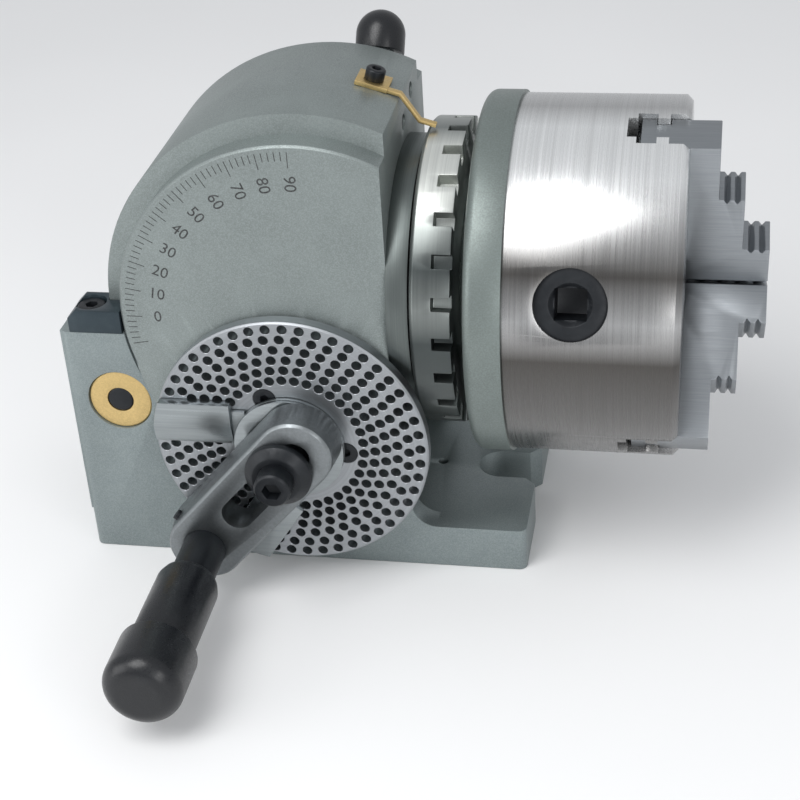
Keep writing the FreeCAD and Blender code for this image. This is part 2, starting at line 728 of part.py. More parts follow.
def plunger_bracket():
    """Block on the rear trunnion face that reaches out beside the notched ring."""
    half = bracket_height / 2
    low, high = centre_height - half, centre_height + half
    foot = block(bracket_left, nose_plane - 2, base_half_width, bracket_outer_y, low, high)
    arm = block(nose_plane - 3, plunger_x + 7, bracket_inner_y, bracket_outer_y, low, high)
    body = joined([foot, arm])
    body = softened(body, 2.0, lambda e: abs(e.CenterOfMass.y - bracket_outer_y) < 1e-6
                    and e.Length > bracket_height - 1)
    body = body.cut(rod("y", plunger_rod_radius + running_fit, bracket_inner_y + 3, bracket_outer_y + 1,
                        (plunger_x, centre_height)))
    body = body.cut(rod("y", plunger_tip_radius + running_fit, bracket_inner_y - 1, bracket_inner_y + 4,
                        (plunger_x, centre_height)))
    for at in bracket_screw_places():
        body = body.cut(rod("y", bracket_screw_radius + seat_fit, base_half_width - 1, bracket_outer_y, at))
        body = body.cut(rod("y", 4.6, bracket_outer_y - 5.5, bracket_outer_y + 1, at))
    return body


def plunger_bracket_screws():
    seat_y = bracket_outer_y - 5.5
    length = seat_y - bracket_thread_end - 0.2
    screws = []
    for x, z in bracket_screw_places():
        screws.append(placed(cap_screw(4.3, 5.0, bracket_screw_radius, length, 4.0), V(x, seat_y, z), V(0, 1, 0)))
    return group(screws)


def notch_plunger():
    """Pin that drops into the notched ring; drawn pulled out."""
    tip_y = index_ring_radius + 0.6
    at = (plunger_x, centre_height)
    shoulder = bracket_inner_y + 3 + plunger_travel + 0.5
    pin = joined([rod("y", plunger_tip_radius, tip_y, shoulder, at),
                  rod("y", plunger_rod_radius, shoulder, bracket_outer_y + plunger_travel + 4, at)])
    return pin


def plunger_knob():
    start = bracket_outer_y + plunger_travel + 0.6
    knob = turned("y", [(start, plunger_rod_radius + seat_fit), (start, 6.0), (start + 3, 7.5),
                        (start + 10, 7.5), (start + 12, 6.0), (start + 12, 0),
                        (start + 3.6, 0), (start + 3.6, plunger_rod_radius + seat_fit)],
                  (plunger_x, centre_height))
    return knob


def lock_screw():
    """Screw that pinches the spindle; its point stops just short of the journal."""
    return lock_rod(lock_screw_radius, front_journal_radius + running_fit + 0.3, lock_knob_start + 9)


def lock_knob():
    """Domed knob on the lock screw."""
    base = lock_rod(lock_knob_radius, lock_knob_start, lock_knob_start + 7)
    centre = V(lock_screw_x, 0, centre_height) + lock_direction() * (lock_knob_start + 7)
    dome = Part.makeSphere(lock_knob_radius, centre)
    below = lock_rod(lock_knob_radius + 2, lock_knob_start - 12, lock_knob_start)
    knob = base.fuse(dome.cut(below)).removeSplitter()
    return knob.cut(lock_rod(lock_screw_radius + seat_fit, lock_knob_start - 12, lock_knob_start + 9))


# ---------------------------------------------------------------- spindle
def spindle():
    wheel_front = worm_x + wheel_face_width / 2
    outline = [(spindle_rear_end, spindle_bore_radius), (spindle_rear_end, rear_thread_radius),
               (rear_recess_floor, rear_thread_radius), (rear_recess_floor, rear_journal_radius),
               (wheel_cavity_left + 1, rear_journal_radius), (wheel_cavity_left + 1, wheel_bore_radius),
               (wheel_front, wheel_bore_radius), (wheel_front, front_journal_radius),
               (nose_plane + front_bearing_flange + 0.5, front_journal_radius),
               (nose_plane + front_bearing_flange + 0.5, spindle_collar_radius),
               (index_ring_left, spindle_collar_radius), (index_ring_left, ring_seat_radius),
               (index_ring_right, ring_seat_radius), (index_ring_right, nose_thread_radius),
               (nose_end, nose_thread_radius), (nose_end, taper_mouth_radius),
               (nose_end - taper_depth, taper_small_radius), (nose_end - taper_depth, spindle_bore_radius)]
    body = turned("x", outline, spindle_at)
    return body.cut(key_block(seat_fit))


def key_block(extra=0.0):
    """Key between the spindle and the worm wheel."""
    half = wheel_key_width / 2 + extra
    bottom = centre_height + wheel_bore_radius - wheel_key_height / 2 - extra
    top = centre_height + wheel_bore_radius + wheel_key_height / 2 + extra
    half_length = wheel_face_width / 2
    return block(worm_x - half_length, worm_x + half_length, -half, half, bottom, top)


def worm_wheel_key():
    return key_block()


def worm_wheel():
    """Bronze wheel; its teeth slope to match the worm's lead."""
    half_width = wheel_face_width / 2
    root = wheel_pitch_radius - gear_module - 0.25 * gear_module
    tip = wheel_pitch_radius + gear_module
    flank = math.tan(math.radians(pressure_angle))
    half_pitch = worm_lead / 4 - tooth_backlash / 2
    slope = worm_lead / (2 * math.pi * worm_pitch_radius)
    twist = math.degrees(slope * half_width / wheel_pitch_radius)

    def section(x, turn):
        corners = []
        for radius, side in ((root - 0.5, -1), (tip, -1), (tip, 1), (root - 0.5, 1)):
            half = half_pitch - (radius - wheel_pitch_radius) * flank
            corners.append(V(x, side * half, centre_height - radius))
        wire = Part.makePolygon(corners + corners[:1])
        return rotated(wire, "x", turn, spindle_at)

    tooth = Part.makeLoft([section(worm_x - half_width, -twist), section(worm_x + half_width, twist)],
                          True, True)
    disc = tube("x", root, wheel_bore_radius + seat_fit, worm_x - half_width, worm_x + half_width,
                spindle_at)
    wheel = joined([disc] + ring_of(tooth, wheel_teeth, "x", spindle_at))
    return wheel.cut(key_block(seat_fit))


def worm_wheel_nut():
    """Ring nut that holds the wheel against the spindle's shoulder."""
    back = worm_x - wheel_face_width / 2
    ring = tube("x", wheel_nut_radius, wheel_bore_radius + seat_fit, back - wheel_nut_thickness, back, spindle_at)
    slot = block(back - wheel_nut_thickness - 1, back + 1, -2, 2,
                 centre_height + wheel_nut_radius - 2.5, centre_height + wheel_nut_radius + 1)
    return ring.cut(ring_of(slot, 4, "x", spindle_at, 45))


def rear_lock_nut():
    left = rear_recess_floor - body_gap - rear_nut_thickness
    ring = tube("x", rear_nut_radius, rear_thread_radius + seat_fit, left, left + rear_nut_thickness, spindle_at)
    slot = block(left - 1, left + rear_nut_thickness + 1, -2.5, 2.5,
                 centre_height + rear_nut_radius - 3, centre_height + rear_nut_radius + 1)
    return ring.cut(ring_of(slot, 4, "x", spindle_at))


def direct_index_ring():
    """Graduated ring on the spindle nose with notches for direct indexing."""
    ring = tube("x", index_ring_radius, ring_seat_radius + seat_fit, index_ring_left, index_ring_right,
                spindle_at)
    ring = softened(ring, index_ring_bevel, is_rim("x", index_ring_left, index_ring_radius))
    notch = block(index_ring_split, index_ring_right + 1, -notch_width / 2, notch_width / 2,
                  centre_height + index_ring_radius - notch_depth, centre_height + index_ring_radius + 1)
    return ring.cut(ring_of(notch, notch_count, "x", spindle_at))


# ---------------------------------------------------------------- chuck
def jaw_frame(degrees):
    """Row placement for a piece drawn with +X outwards and +Z along the spindle."""
    lean = math.radians(degrees)
    out = V(0, math.cos(lean), math.sin(lean))
    turn = FreeCAD.Rotation(out, V(1, 0, 0).cross(out), V(1, 0, 0), "ZXY")
    return FreeCAD.Placement(V(0, 0, centre_height), turn)


def set_in_chuck(shape, degrees):
    moved = shape.copy()
    moved.Placement = jaw_frame(degrees)
    return moved


def jaw_angles():
    return [jaw_angle + 360.0 * k / jaw_count for k in range(jaw_count)]


def pinion_angles():
    return [degrees + 60.0 for degrees in jaw_angles()]


def chuck_back_plate():
    outline = [(index_ring_right, nose_thread_radius + seat_fit),
               (index_ring_right, back_plate_hub_radius),
               (back_plate_left, back_plate_hub_radius),
               (back_plate_left, back_plate_radius),
               (back_plate_right, back_plate_radius),
               (back_plate_right, nose_thread_radius + seat_fit)]
    plate = turned("x", outline, spindle_at)
    plate = softened(plate, back_plate_rounding, is_rim("x", back_plate_left, back_plate_radius), False)
    hole = rod("x", 3 + seat_fit, back_plate_left, back_plate_right, (0, centre_height + back_bolt_circle))
    sink = rod("x", 5.2, back_plate_left, back_plate_left + 7, (0, centre_height + back_bolt_circle))
    first = jaw_angle - 90
    return plate.cut(ring_of(hole.fuse(sink), 3, "x", spindle_at, first))


def back_plate_bolts():
    bolt = placed(cap_screw(5.0, 6.0, 3.0, 17.0, 5.0),
                  V(back_plate_left + 7, 0, centre_height + back_bolt_circle), V(-1, 0, 0))
    return group(ring_of(bolt, 3, "x", spindle_at, jaw_angle - 90))


def jaw_slot():
    """Cutter for one jaw guide, in the jaw's own frame."""
    half = jaw_width / 2 + body_gap
    neck = half - jaw_tongue_depth
    reach = chuck_radius + 5
    tongue_front = jaw_tongue_back + jaw_tongue_width
    back = block(0, reach, -half, half, chuck_cavity_front - 1, jaw_tongue_back)
    waist = block(0, reach, -neck, neck, jaw_tongue_back, tongue_front)
    front = block(0, reach, -half, half, tongue_front, chuck_face + 1)
    tooth_way = block(chuck_cavity_radius - 2, reach, -jaw_tooth_half - body_gap,
                      jaw_tooth_half + body_gap, scroll_front, chuck_cavity_front)
    return joined([back, waist, front, tooth_way])


def chuck_body():
    outline = [(back_plate_right, chuck_cavity_radius), (back_plate_right, chuck_radius),
               (chuck_face, chuck_radius), (chuck_face, chuck_bore_radius),
               (chuck_hub_back, chuck_bore_radius), (chuck_hub_back, chuck_hub_radius),
               (chuck_cavity_front, chuck_hub_radius), (chuck_cavity_front, chuck_cavity_radius)]
    body = turned("x", outline, spindle_at)
    body = softened(body, chuck_rim_bevel, is_rim("x", chuck_face, chuck_radius))
    cutters = [set_in_chuck(jaw_slot(), degrees) for degrees in jaw_angles()]
    bore = Part.makeCylinder(pinion_head_radius + running_fit, 40, V(38, 0, pinion_x), V(1, 0, 0))
    cutters += [set_in_chuck(bore, degrees) for degrees in pinion_angles()]
    bolt = rod("x", 3 + seat_fit, back_plate_right, back_plate_right + 12,
               (0, centre_height + back_bolt_circle))
    cutters += ring_of(bolt, 3, "x", spindle_at, jaw_angle - 90)
    return body.cut(cutters)


def scroll_cover():
    """Plate behind the scroll that closes the chuck's gear cavity."""
    back = back_plate_right
    plate = tube("x", chuck_cavity_radius - seat_fit, nose_thread_radius + 1.5, back, back + cover_thickness,
                 spindle_at)
    return plate


def scroll_point(turns, offset):
    """Point on the spiral after so many turns, in the chuck's cross-section at the scroll's face."""
    radius = scroll_first_radius + scroll_pitch * turns + offset
    lean = -2 * math.pi * turns
    return V(scroll_front, radius * math.cos(lean), centre_height + radius * math.sin(lean))


def scroll_ridge():
    """Spiral ridge, one smooth arc for each sixth of a turn."""
    turns = (scroll_last_radius - scroll_first_radius) / scroll_pitch
    steps = int(round(turns * 6))
    edges = []
    for offset in (-scroll_ridge_width / 2, scroll_ridge_width / 2):
        for k in range(steps):
            start, end = k / 6.0, (k + 1) / 6.0
            arc = Part.Arc(scroll_point(start, offset), scroll_point((start + end) / 2, offset),
                           scroll_point(end, offset))
            edges.append(arc.toShape())
    for place in (0, steps / 6.0):
        edges.append(Part.makeLine(scroll_point(place, -scroll_ridge_width / 2),
                                   scroll_point(place, scroll_ridge_width / 2)))
    face = Part.Face(Part.Wire(Part.__sortEdges__(edges)))
    return face.extrude(V(scroll_ridge_height, 0, 0))


def bevel_tooth(profile):
    """Tooth that tapers towards the crossing of the pinion and spindle axes.

    The profile holds (height towards the chuck's face, half width) at the mean radius.
    """
    sections = []
    for radius in (bevel_inner, bevel_outer):
        scale = radius / bevel_mean_radius
        left = [V(radius, half * scale, pinion_x + height * scale) for height, half in profile]
        right = [V(radius, -half * scale, pinion_x + height * scale) for height, half in profile[::-1]]
        corners = left + right
        sections.append(Part.makePolygon(corners + corners[:1]))
    return Part.makeLoft(sections, True, True)


def bevel_sizes():
    """Tooth pitch and pinion pitch radius at the mean radius of the bevel gears."""
    tooth_pitch = 2 * math.pi * bevel_mean_radius / scroll_tooth_count
    return tooth_pitch, tooth_pitch * pinion_tooth_count / (2 * math.pi)


def chuck_scroll():
    """Scroll plate: spiral ridge in front, bevel gear teeth behind."""
    tooth_pitch, pinion_pitch_radius = bevel_sizes()
    addendum = 1.5
    root = pinion_pitch_radius + 1.9

    def back(radius):
        return pinion_x + root * radius / bevel_mean_radius

    inner = chuck_hub_radius + running_fit
    outline = [(scroll_front, inner), (scroll_front, scroll_radius),
               (back(bevel_outer + 1), scroll_radius), (back(bevel_outer + 1), bevel_outer + 1),
               (back(bevel_inner - 1), bevel_inner - 1), (back(bevel_inner - 1), inner)]
    disc = turned("x", outline, spindle_at)
    half = tooth_pitch / 4 - tooth_backlash / 2
    profile = [(pinion_pitch_radius - addendum, half - 0.45), (root + 0.3, half + 0.6)]
    first = pinion_angles()[0] + 180.0 / scroll_tooth_count
    tooth = set_in_chuck(bevel_tooth(profile), first)
    teeth = ring_of(tooth, scroll_tooth_count, "x", spindle_at)
    return joined([disc, scroll_ridge()] + teeth)


def chuck_pinion(degrees):
    """Key-driven bevel pinion with a square socket."""
    tooth_pitch, pitch_radius = bevel_sizes()
    half = tooth_pitch / 4 - tooth_backlash / 2
    profile = [(pitch_radius - 2.4, half + 0.35), (pitch_radius, half), (pitch_radius + 1.4, half - 0.5)]
    tooth = bevel_tooth(profile)
    teeth = []
    for k in range(pinion_tooth_count):
        copy = tooth.copy()
        copy.rotate(V(0, 0, pinion_x), V(1, 0, 0), 360.0 * k / pinion_tooth_count)
        teeth.append(copy)
    scale_in, scale_out = bevel_inner / bevel_mean_radius, bevel_outer / bevel_mean_radius
    core = Part.makeCone((pitch_radius - 2.0) * scale_in, (pitch_radius - 2.0) * scale_out,
                         bevel_outer - bevel_inner, V(bevel_inner, 0, pinion_x), V(1, 0, 0))
    neck_end = chuck_cavity_radius + 0.5
    neck = Part.makeCylinder(pinion_neck_radius, neck_end - bevel_outer, V(bevel_outer, 0, pinion_x), V(1, 0, 0))
    head = Part.makeCylinder(pinion_head_radius, pinion_head_outer - neck_end,
                             V(neck_end, 0, pinion_x), V(1, 0, 0))
    half_square = pinion_square / 2
    socket = block(pinion_head_outer - pinion_socket_depth, pinion_head_outer + 1,
                   -half_square, half_square, pinion_x - half_square, pinion_x + half_square)
    lead_in = Part.makeCone(half_square + 0.4, half_square + 2.0, 1.8,
                            V(pinion_head_outer - 1.8, 0, pinion_x), V(1, 0, 0))
    body = joined([core, neck, head] + teeth).cut([socket, lead_in])
    return set_in_chuck(body, degrees)


def groove_points(fixed, start, end, count, depth, upright):
    """Corner points of V grooves along one face of the jaw's side outline."""
    pitch = (end - start) / (count + 0.5)
    points = []
    for k in range(count):
        middle = start + pitch * (k + 0.75)
        for offset, sink in ((-pitch * 0.3, 0.0), (0.0, depth), (pitch * 0.3, 0.0)):
            along = middle + offset
            points.append(V(fixed + sink, 0, along) if upright else V(along, 0, fixed - sink))
    return points


def chuck_jaw(degrees):
    """Stepped jaw with grooved gripping faces, side guides and scroll teeth on its back."""
    back = chuck_cavity_front + body_gap
    tops = [chuck_face + height for height in jaw_step_heights]
    outline = [V(jaw_rest_radius, 0, back)]
    outline += groove_points(jaw_rest_radius, chuck_face, tops[0], grip_groove_count, grip_groove_depth, True)
    outline.append(V(jaw_rest_radius, 0, tops[0]))
    for k in range(2):
        outline.append(V(jaw_step_ends[k], 0, tops[k]))
        grooves = groove_points(-jaw_step_ends[k], tops[k + 1], tops[k], step_groove_count,
                                grip_groove_depth, True)
        outline += [V(-p.x, 0, p.z) for p in grooves[::-1]]
        outline.append(V(jaw_step_ends[k], 0, tops[k + 1]))
    outline += [V(jaw_step_ends[2], 0, tops[2]), V(jaw_step_ends[2], 0, back)]
    half = jaw_width / 2
    body = prism([p + V(0, -half, 0) for p in outline], V(0, jaw_width, 0))
    reach = jaw_step_ends[2] + 1
    slant = (half + 2 - jaw_nose_half_width) / math.tan(math.radians(180.0 / jaw_count))
    point_cut = prism([V(jaw_rest_radius - 1, jaw_nose_half_width, back - 1),
                       V(jaw_rest_radius, jaw_nose_half_width, back - 1),
                       V(jaw_rest_radius + slant, half + 2, back - 1),
                       V(jaw_rest_radius - 1, half + 2, back - 1)],
                      V(0, 0, tops[0] - back + 2))
    body = body.cut(sides(point_cut))
    tongue_back = jaw_tongue_back - body_gap
    tongue_front = jaw_tongue_back + jaw_tongue_width + body_gap
    for side in (-1, 1):
        body = body.cut(block(-1, reach, side * (half - jaw_tongue_depth), side * (half + 1),
                              tongue_back, tongue_front))
    return set_in_chuck(joined([body] + jaw_teeth(degrees)), degrees)


def jaw_teeth(degrees):
    """Crescent teeth that sit in the scroll's groove at this jaw's angle."""
    half = (scroll_pitch - scroll_ridge_width) / 2 - 0.45
    start = scroll_first_radius + scroll_pitch * ((-degrees / 360.0) % 1.0) + scroll_pitch / 2
    z0 = scroll_front + body_gap
    height = chuck_cavity_front + body_gap - z0 + 0.5
    teeth = []
    radius = start
    while radius + half < scroll_last_radius:
        outer = crescent_arc(radius + half, jaw_tooth_half, scroll_first_radius, z0)
        inner = crescent_arc(radius - half, jaw_tooth_half, scroll_last_radius + 3 * scroll_pitch, z0)
        ends = [Part.makeLine(outer.valueAt(outer.FirstParameter), inner.valueAt(inner.FirstParameter)),
                Part.makeLine(outer.valueAt(outer.LastParameter), inner.valueAt(inner.LastParameter))]
        wire = Part.Wire(Part.__sortEdges__([outer, inner] + ends))
        teeth.append(Part.Face(wire).extrude(V(0, 0, height)))
        radius += scroll_pitch
    return teeth


def crescent_arc(crown, half_reach, radius, z):
    """Arc whose crown points outwards at `crown` and that reaches `half_reach` to each side."""
    drop = radius - math.sqrt(radius * radius - half_reach * half_reach)
    return Part.Arc(V(crown - drop, -half_reach, z), V(crown, 0, z), V(crown - drop, half_reach, z)).toShape()


# ---------------------------------------------------------------- crank
def crank_direction():
    lean = math.radians(crank_angle)
    return V(math.cos(lean), 0, math.sin(lean))


def crank_place(distance, y):
    """Point on the crank's centre line, measured from the worm shaft towards the handle."""
    return V(worm_x, y, worm_z) + crank_direction() * distance


def long_round(back_radius, front_radius, first, last, back_y, front_y):
    """Bar with round ends on the crank's centre line, tapering from back to front."""
    depth = back_y - front_y
    ends = [Part.makeCone(back_radius, front_radius, depth, crank_place(d, back_y), V(0, -1, 0))
            if abs(back_radius - front_radius) > 1e-6
            else Part.makeCylinder(back_radius, depth, crank_place(d, back_y), V(0, -1, 0))
            for d in (first, last)]
    across = V(0, -1, 0).cross(crank_direction())
    sections = []
    for y, radius in ((back_y, back_radius), (front_y, front_radius)):
        a, b = crank_place(first, y), crank_place(last, y)
        corners = [a + across * radius, b + across * radius, b - across * radius, a - across * radius]
        sections.append(Part.makePolygon(corners + corners[:1]))
    return joined(ends + [Part.makeLoft(sections, True, True)])


def crank_arm():
    body = long_round(crank_end_radius + crank_draft, crank_end_radius, -crank_slot_behind,
                      hole_circle_outer, crank_back_y, crank_front_y + 1.0)
    cap = long_round(crank_end_radius, crank_end_radius - 0.9, -crank_slot_behind,
                     hole_circle_outer, crank_front_y + 1.0, crank_front_y)
    slot = long_round(crank_slot_half_width, crank_slot_half_width, -crank_slot_behind,
                      crank_slot_ahead, crank_back_y + 1, crank_front_y - 1)
    body = body.fuse(cap).removeSplitter().cut(slot)
    return body.cut([rod("y", barrel_radius + seat_fit, crank_back_y + 1, crank_front_y - 1, pin_at),
                     set_screw_rod(1.9 + seat_fit, barrel_radius, crank_end_radius + 3)])


def set_screw_rod(radius, start, end):
    """Cylinder on the axis of the barrel's set screw, measured from the index pin."""
    across = V(0, -1, 0).cross(crank_direction())
    if across.z < 0:
        across = across * -1
    middle = V(pin_x, (crank_back_y + crank_front_y) / 2, pin_z)
    return Part.makeCylinder(radius, end - start, middle + across * start, across)


def barrel_set_screw():
    return set_screw_rod(1.9, barrel_radius + 0.1, crank_end_radius + 1.6)


def worm_thread():
    """One start of worm thread, drawn about +Z with its first crest at +X."""
    helix = Part.makeHelix(worm_lead, worm_turns * worm_lead, worm_pitch_radius)
    flank = math.tan(math.radians(pressure_angle))
    tip = worm_pitch_radius + gear_module
    root = worm_pitch_radius - gear_module - tooth_root_clearance
    half = worm_lead / 4 - tooth_backlash / 2
    corners = []
    for radius, side in ((root - 0.4, -1), (tip, -1), (tip, 1), (root - 0.4, 1)):
        corners.append(V(radius, 0, side * (half - (radius - worm_pitch_radius) * flank)))
    profile = Part.makePolygon(corners + corners[:1])
    return Part.Wire(helix.Edges).makePipeShell([profile], True, True)


def worm_shaft():
    """Worm, its journals, and the flatted end that drives the crank."""
    half = worm_half_length()
    root = worm_pitch_radius - gear_module - tooth_root_clearance
    thread = worm_thread()
    turn = FreeCAD.Rotation(V(0, 0, 1), V(1, 0, 0), V(0, 1, 0), "ZXY")
    thread.Placement = FreeCAD.Placement(V(worm_x, -worm_turns * worm_lead / 2, worm_z), turn)
    front_end = crank_front_y + 1.2
    shaft = joined([rod("y", root, -half, half, worm_at),
                    rod("y", worm_journal_radius, crank_back_y + 0.2, -half, worm_at),
                    rod("y", worm_tail_radius, half, worm_tail_end, worm_at)])
    stub = rod("y", worm_journal_radius, front_end, crank_back_y + 0.2, worm_at)
    across = V(0, -1, 0).cross(crank_direction())
    slab = prism([crank_place(-20, front_end - 1) + across * shaft_flat_half_width,
                  crank_place(20, front_end - 1) + across * shaft_flat_half_width,
                  crank_place(20, front_end - 1) - across * shaft_flat_half_width,
                  crank_place(-20, front_end - 1) - across * shaft_flat_half_width],
                 V(0, crank_thickness + 2, 0))
    shaft = joined([shaft, stub.common(slab)])
    shaft = shaft.fuse(thread)
    tapped = rod("y", crank_bolt_radius + seat_fit, front_end - 1, front_end + crank_bolt_length, worm_at)
    return shaft.cut(tapped)


def crank_washer():
    """Thick domed washer under the crank bolt."""
    front = crank_front_y - crank_washer_thickness
    return turned("y", [(crank_front_y, crank_bolt_radius + seat_fit),
                        (crank_front_y, crank_washer_radius), (crank_front_y - 2.6, crank_washer_radius),
                        (front, crank_washer_radius - 3.2), (front, crank_bolt_radius + seat_fit)], worm_at)


def crank_bolt():
    seat = V(worm_x, crank_front_y - crank_washer_thickness, worm_z)
    return placed(cap_screw(crank_bolt_head_radius, crank_bolt_head_height, crank_bolt_radius,
                            crank_bolt_length, crank_bolt_hex), seat, V(0, -1, 0))


def pin_tip_y():
    """Rest place of the index pin's tip: held clear of the sector arms."""
    return plate_front_y - body_gap - sector_thickness - 0.5


def handle_barrel():
    """Barrel fixed in the crank arm, which guides the index pin and holds its spring."""
    end = crank_front_y - barrel_reach
    body = softened(rod("y", barrel_radius, crank_back_y, end, pin_at), 0.6, is_rim("y", end, barrel_radius))
    room = rod("y", pin_collar_radius + 0.4, crank_back_y - collar_stop, end + barrel_end_wall, pin_at)
    return body.cut([rod("y", pin_rod_radius + running_fit, crank_back_y + 1, end - 1, pin_at), room])


def index_pin():
    """Long pin: tip, rod and the collar that the spring pushes on."""
    tip = pin_tip_y()
    end = crank_front_y - grip_start - grip_length - cap_bore_depth
    collar = crank_back_y - collar_stop - pin_travel - 0.5
    body = joined([rod("y", pin_tip_radius, tip, tip - pin_tip_length, pin_at),
                   rod("y", pin_rod_radius, tip - pin_tip_length, end, pin_at),
                   rod("y", pin_collar_radius, collar, collar - 2.5, pin_at)])
    return softened(body, 0.5, is_rim("y", tip, pin_tip_radius))


def handle_grip():
    """Sleeve that slides over the barrel and draws the pin out."""
    start = crank_front_y - grip_start
    end = start - grip_length
    return turned("y", [(start, barrel_radius + running_fit), (start, grip_radius - 2.0),
                        (start - 1.2, grip_radius - 0.7), (start - 3.5, grip_radius), (end, grip_radius),
                        (end, pin_rod_radius + seat_fit),
                        (start - grip_bore_depth, pin_rod_radius + seat_fit),
                        (start - grip_bore_depth, barrel_radius + running_fit)], pin_at)


def handle_cap():
    start = crank_front_y - grip_start - grip_length
    end = start - grip_cap_length
    body = rod("y", grip_cap_radius, start, end, pin_at)
    body = softened(body, grip_cap_rounding, is_rim("y", end, grip_cap_radius), False)
    body = softened(body, 1.6, is_rim("y", start, grip_cap_radius))
    return body.cut(rod("y", pin_rod_radius + seat_fit, start, start - cap_bore_depth, pin_at))


# ---------------------------------------------------------------- all nodes
NODES = {
    "base_casting": base_casting,
    "clamp_blocks": clamp_blocks,
    "clamp_block_screws": clamp_block_screws,
    "clamp_bushes": clamp_bushes,
    "cross_clamp_bolt": cross_clamp_bolt,
    "swivel_housing": swivel_housing,
    "front_bearing": front_bearing,
    "front_bearing_screws": front_bearing_screws,
    "rear_bush": rear_bush,
    "nose_set_screws": nose_set_screws,
    "worm_sleeve": worm_sleeve,
    "index_plate": index_plate,
    "index_plate_screws": index_plate_screws,
    "retaining_ring": retaining_ring,
    "pointer_plate": pointer_plate,
    "pointer_screw": pointer_screw,
    "plunger_bracket": plunger_bracket,
    "plunger_bracket_screws": plunger_bracket_screws,
    "notch_plunger": notch_plunger,
    "plunger_knob": plunger_knob,
    "lock_screw": lock_screw,
    "lock_knob": lock_knob,
    "sector_arm_left": sector_arm_left,
    "sector_arm_right": sector_arm_right,
    "spindle": spindle,
    "worm_wheel": worm_wheel,
    "worm_wheel_key": worm_wheel_key,
    "worm_wheel_nut": worm_wheel_nut,
    "rear_lock_nut": rear_lock_nut,
    "direct_index_ring": direct_index_ring,
    "chuck_back_plate": chuck_back_plate,
    "back_plate_bolts": back_plate_bolts,
    "chuck_body": chuck_body,
    "scroll_cover": scroll_cover,
    "chuck_scroll": chuck_scroll,
    "worm_shaft": worm_shaft,
    "crank_arm": crank_arm,
    "crank_washer": crank_washer,
    "crank_bolt": crank_bolt,
    "handle_barrel": handle_barrel,
    "barrel_set_screw": barrel_set_screw,
    "index_pin": index_pin,
    "handle_grip": handle_grip,
    "handle_cap": handle_cap,
}

os.makedirs("parts", exist_ok=True)
for name, make in NODES.items():
    make().exportStep("parts/%s.step" % name)
for number, degrees in enumerate(jaw_angles(), 1):
    chuck_jaw(degrees).exportStep("parts/chuck_jaw_%d.step" % number)
for number, degrees in enumerate(pinion_angles(), 1):
    chuck_pinion(degrees).exportStep("parts/chuck_pinion_%d.step" % number)
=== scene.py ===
"""Looks of a tilting dividing head with a three-jaw scroll chuck.

Lengths are given in millimetres and turned into metres where a mesh is made.
+X runs along the spindle towards the chuck, -Y towards the crank, +Z up.
"""
import logging
import math
from dataclasses import dataclass
from enum import Enum
from typing import Sequence

import bpy
from mathutils import Matrix, Vector


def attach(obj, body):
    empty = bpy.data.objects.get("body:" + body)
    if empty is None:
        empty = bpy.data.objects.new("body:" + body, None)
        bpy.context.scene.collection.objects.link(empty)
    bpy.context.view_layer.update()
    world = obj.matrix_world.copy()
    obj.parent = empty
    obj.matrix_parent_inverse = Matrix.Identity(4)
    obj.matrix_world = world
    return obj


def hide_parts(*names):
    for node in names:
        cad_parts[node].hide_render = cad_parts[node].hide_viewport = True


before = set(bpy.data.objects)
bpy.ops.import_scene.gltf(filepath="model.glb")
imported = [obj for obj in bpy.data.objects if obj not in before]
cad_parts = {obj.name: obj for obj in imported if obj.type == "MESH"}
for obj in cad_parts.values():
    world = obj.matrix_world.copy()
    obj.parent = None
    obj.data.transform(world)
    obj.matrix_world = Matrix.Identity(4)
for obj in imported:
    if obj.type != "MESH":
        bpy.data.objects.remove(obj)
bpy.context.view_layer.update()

log = logging.getLogger("dividing_head")

Colour = tuple[float, float, float]
Tone = Colour | bpy.types.NodeSocket
Outline = Sequence[tuple[float, float]]
Place = tuple[float, float, float]

MM = 0.001
POLE = 0.001            # radius, in mm, that stands for a point on a lathe's axis
MERGE = 0.000004        # metres: closer vertices are one vertex
EDGE_ANGLE = 32.0       # degrees: sharper edges are rounded
SHADE_ANGLE = 30.0      # degrees: sharper edges stay crisp in the shading
FLAT_ANGLE = 0.6        # degrees: seams flatter than this are taken out
BEVEL_FACES = 2         # faces across a rounded edge
ROUND_FACES = 96        # faces round a turned piece, where nothing else is said
TYPE_SIZE = 1.4         # size of the type over the height of a figure
TYPE_STEPS = 3          # steps in each curve of a figure's outline
GROUND_STRETCH = 0.02   # length of a grinding mark: its share of fineness along X
CENTRE_HEIGHT = 100.0   # spindle axis above the table, in mm
WORM_X, WORM_Z = -5.7, 56.7     # crank axis, in mm
CRANK_AXIS = Vector((0, 1, 0))
UPWARDS = Vector((0, 0, 1))


class Grain(Enum):
    """How a metal surface was cut: which way its fine marks run."""

    TURNED_X = "x"
    TURNED_Y = "y"
    ALONG_X = "ground"
    NONE = "none"


# ---------------------------------------------------------------- modelling steps
def deselect() -> None:
    """Leave object mode with nothing selected."""
    if bpy.context.object and bpy.context.object.mode != "OBJECT":
        bpy.ops.object.mode_set(mode="OBJECT")
    bpy.ops.object.select_all(action="DESELECT")


def activate(piece: bpy.types.Object) -> None:
    """Make one piece the only selected and active one.

    Args:
        piece: the object to work on.
    """
    deselect()
    piece.select_set(True)
    bpy.context.view_layer.objects.active = piece


def apply_modifier(piece: bpy.types.Object, kind: str, **settings: object) -> None:
    """Add a modifier and apply it at once.

    Args:
        piece: the object to change.
        kind: the modifier's type.
        settings: values for its properties.
    """
    activate(piece)
    modifier = piece.modifiers.new(kind.title(), kind)
    for key, value in settings.items():
        setattr(modifier, key, value)
    bpy.ops.object.modifier_apply(modifier=modifier.name)


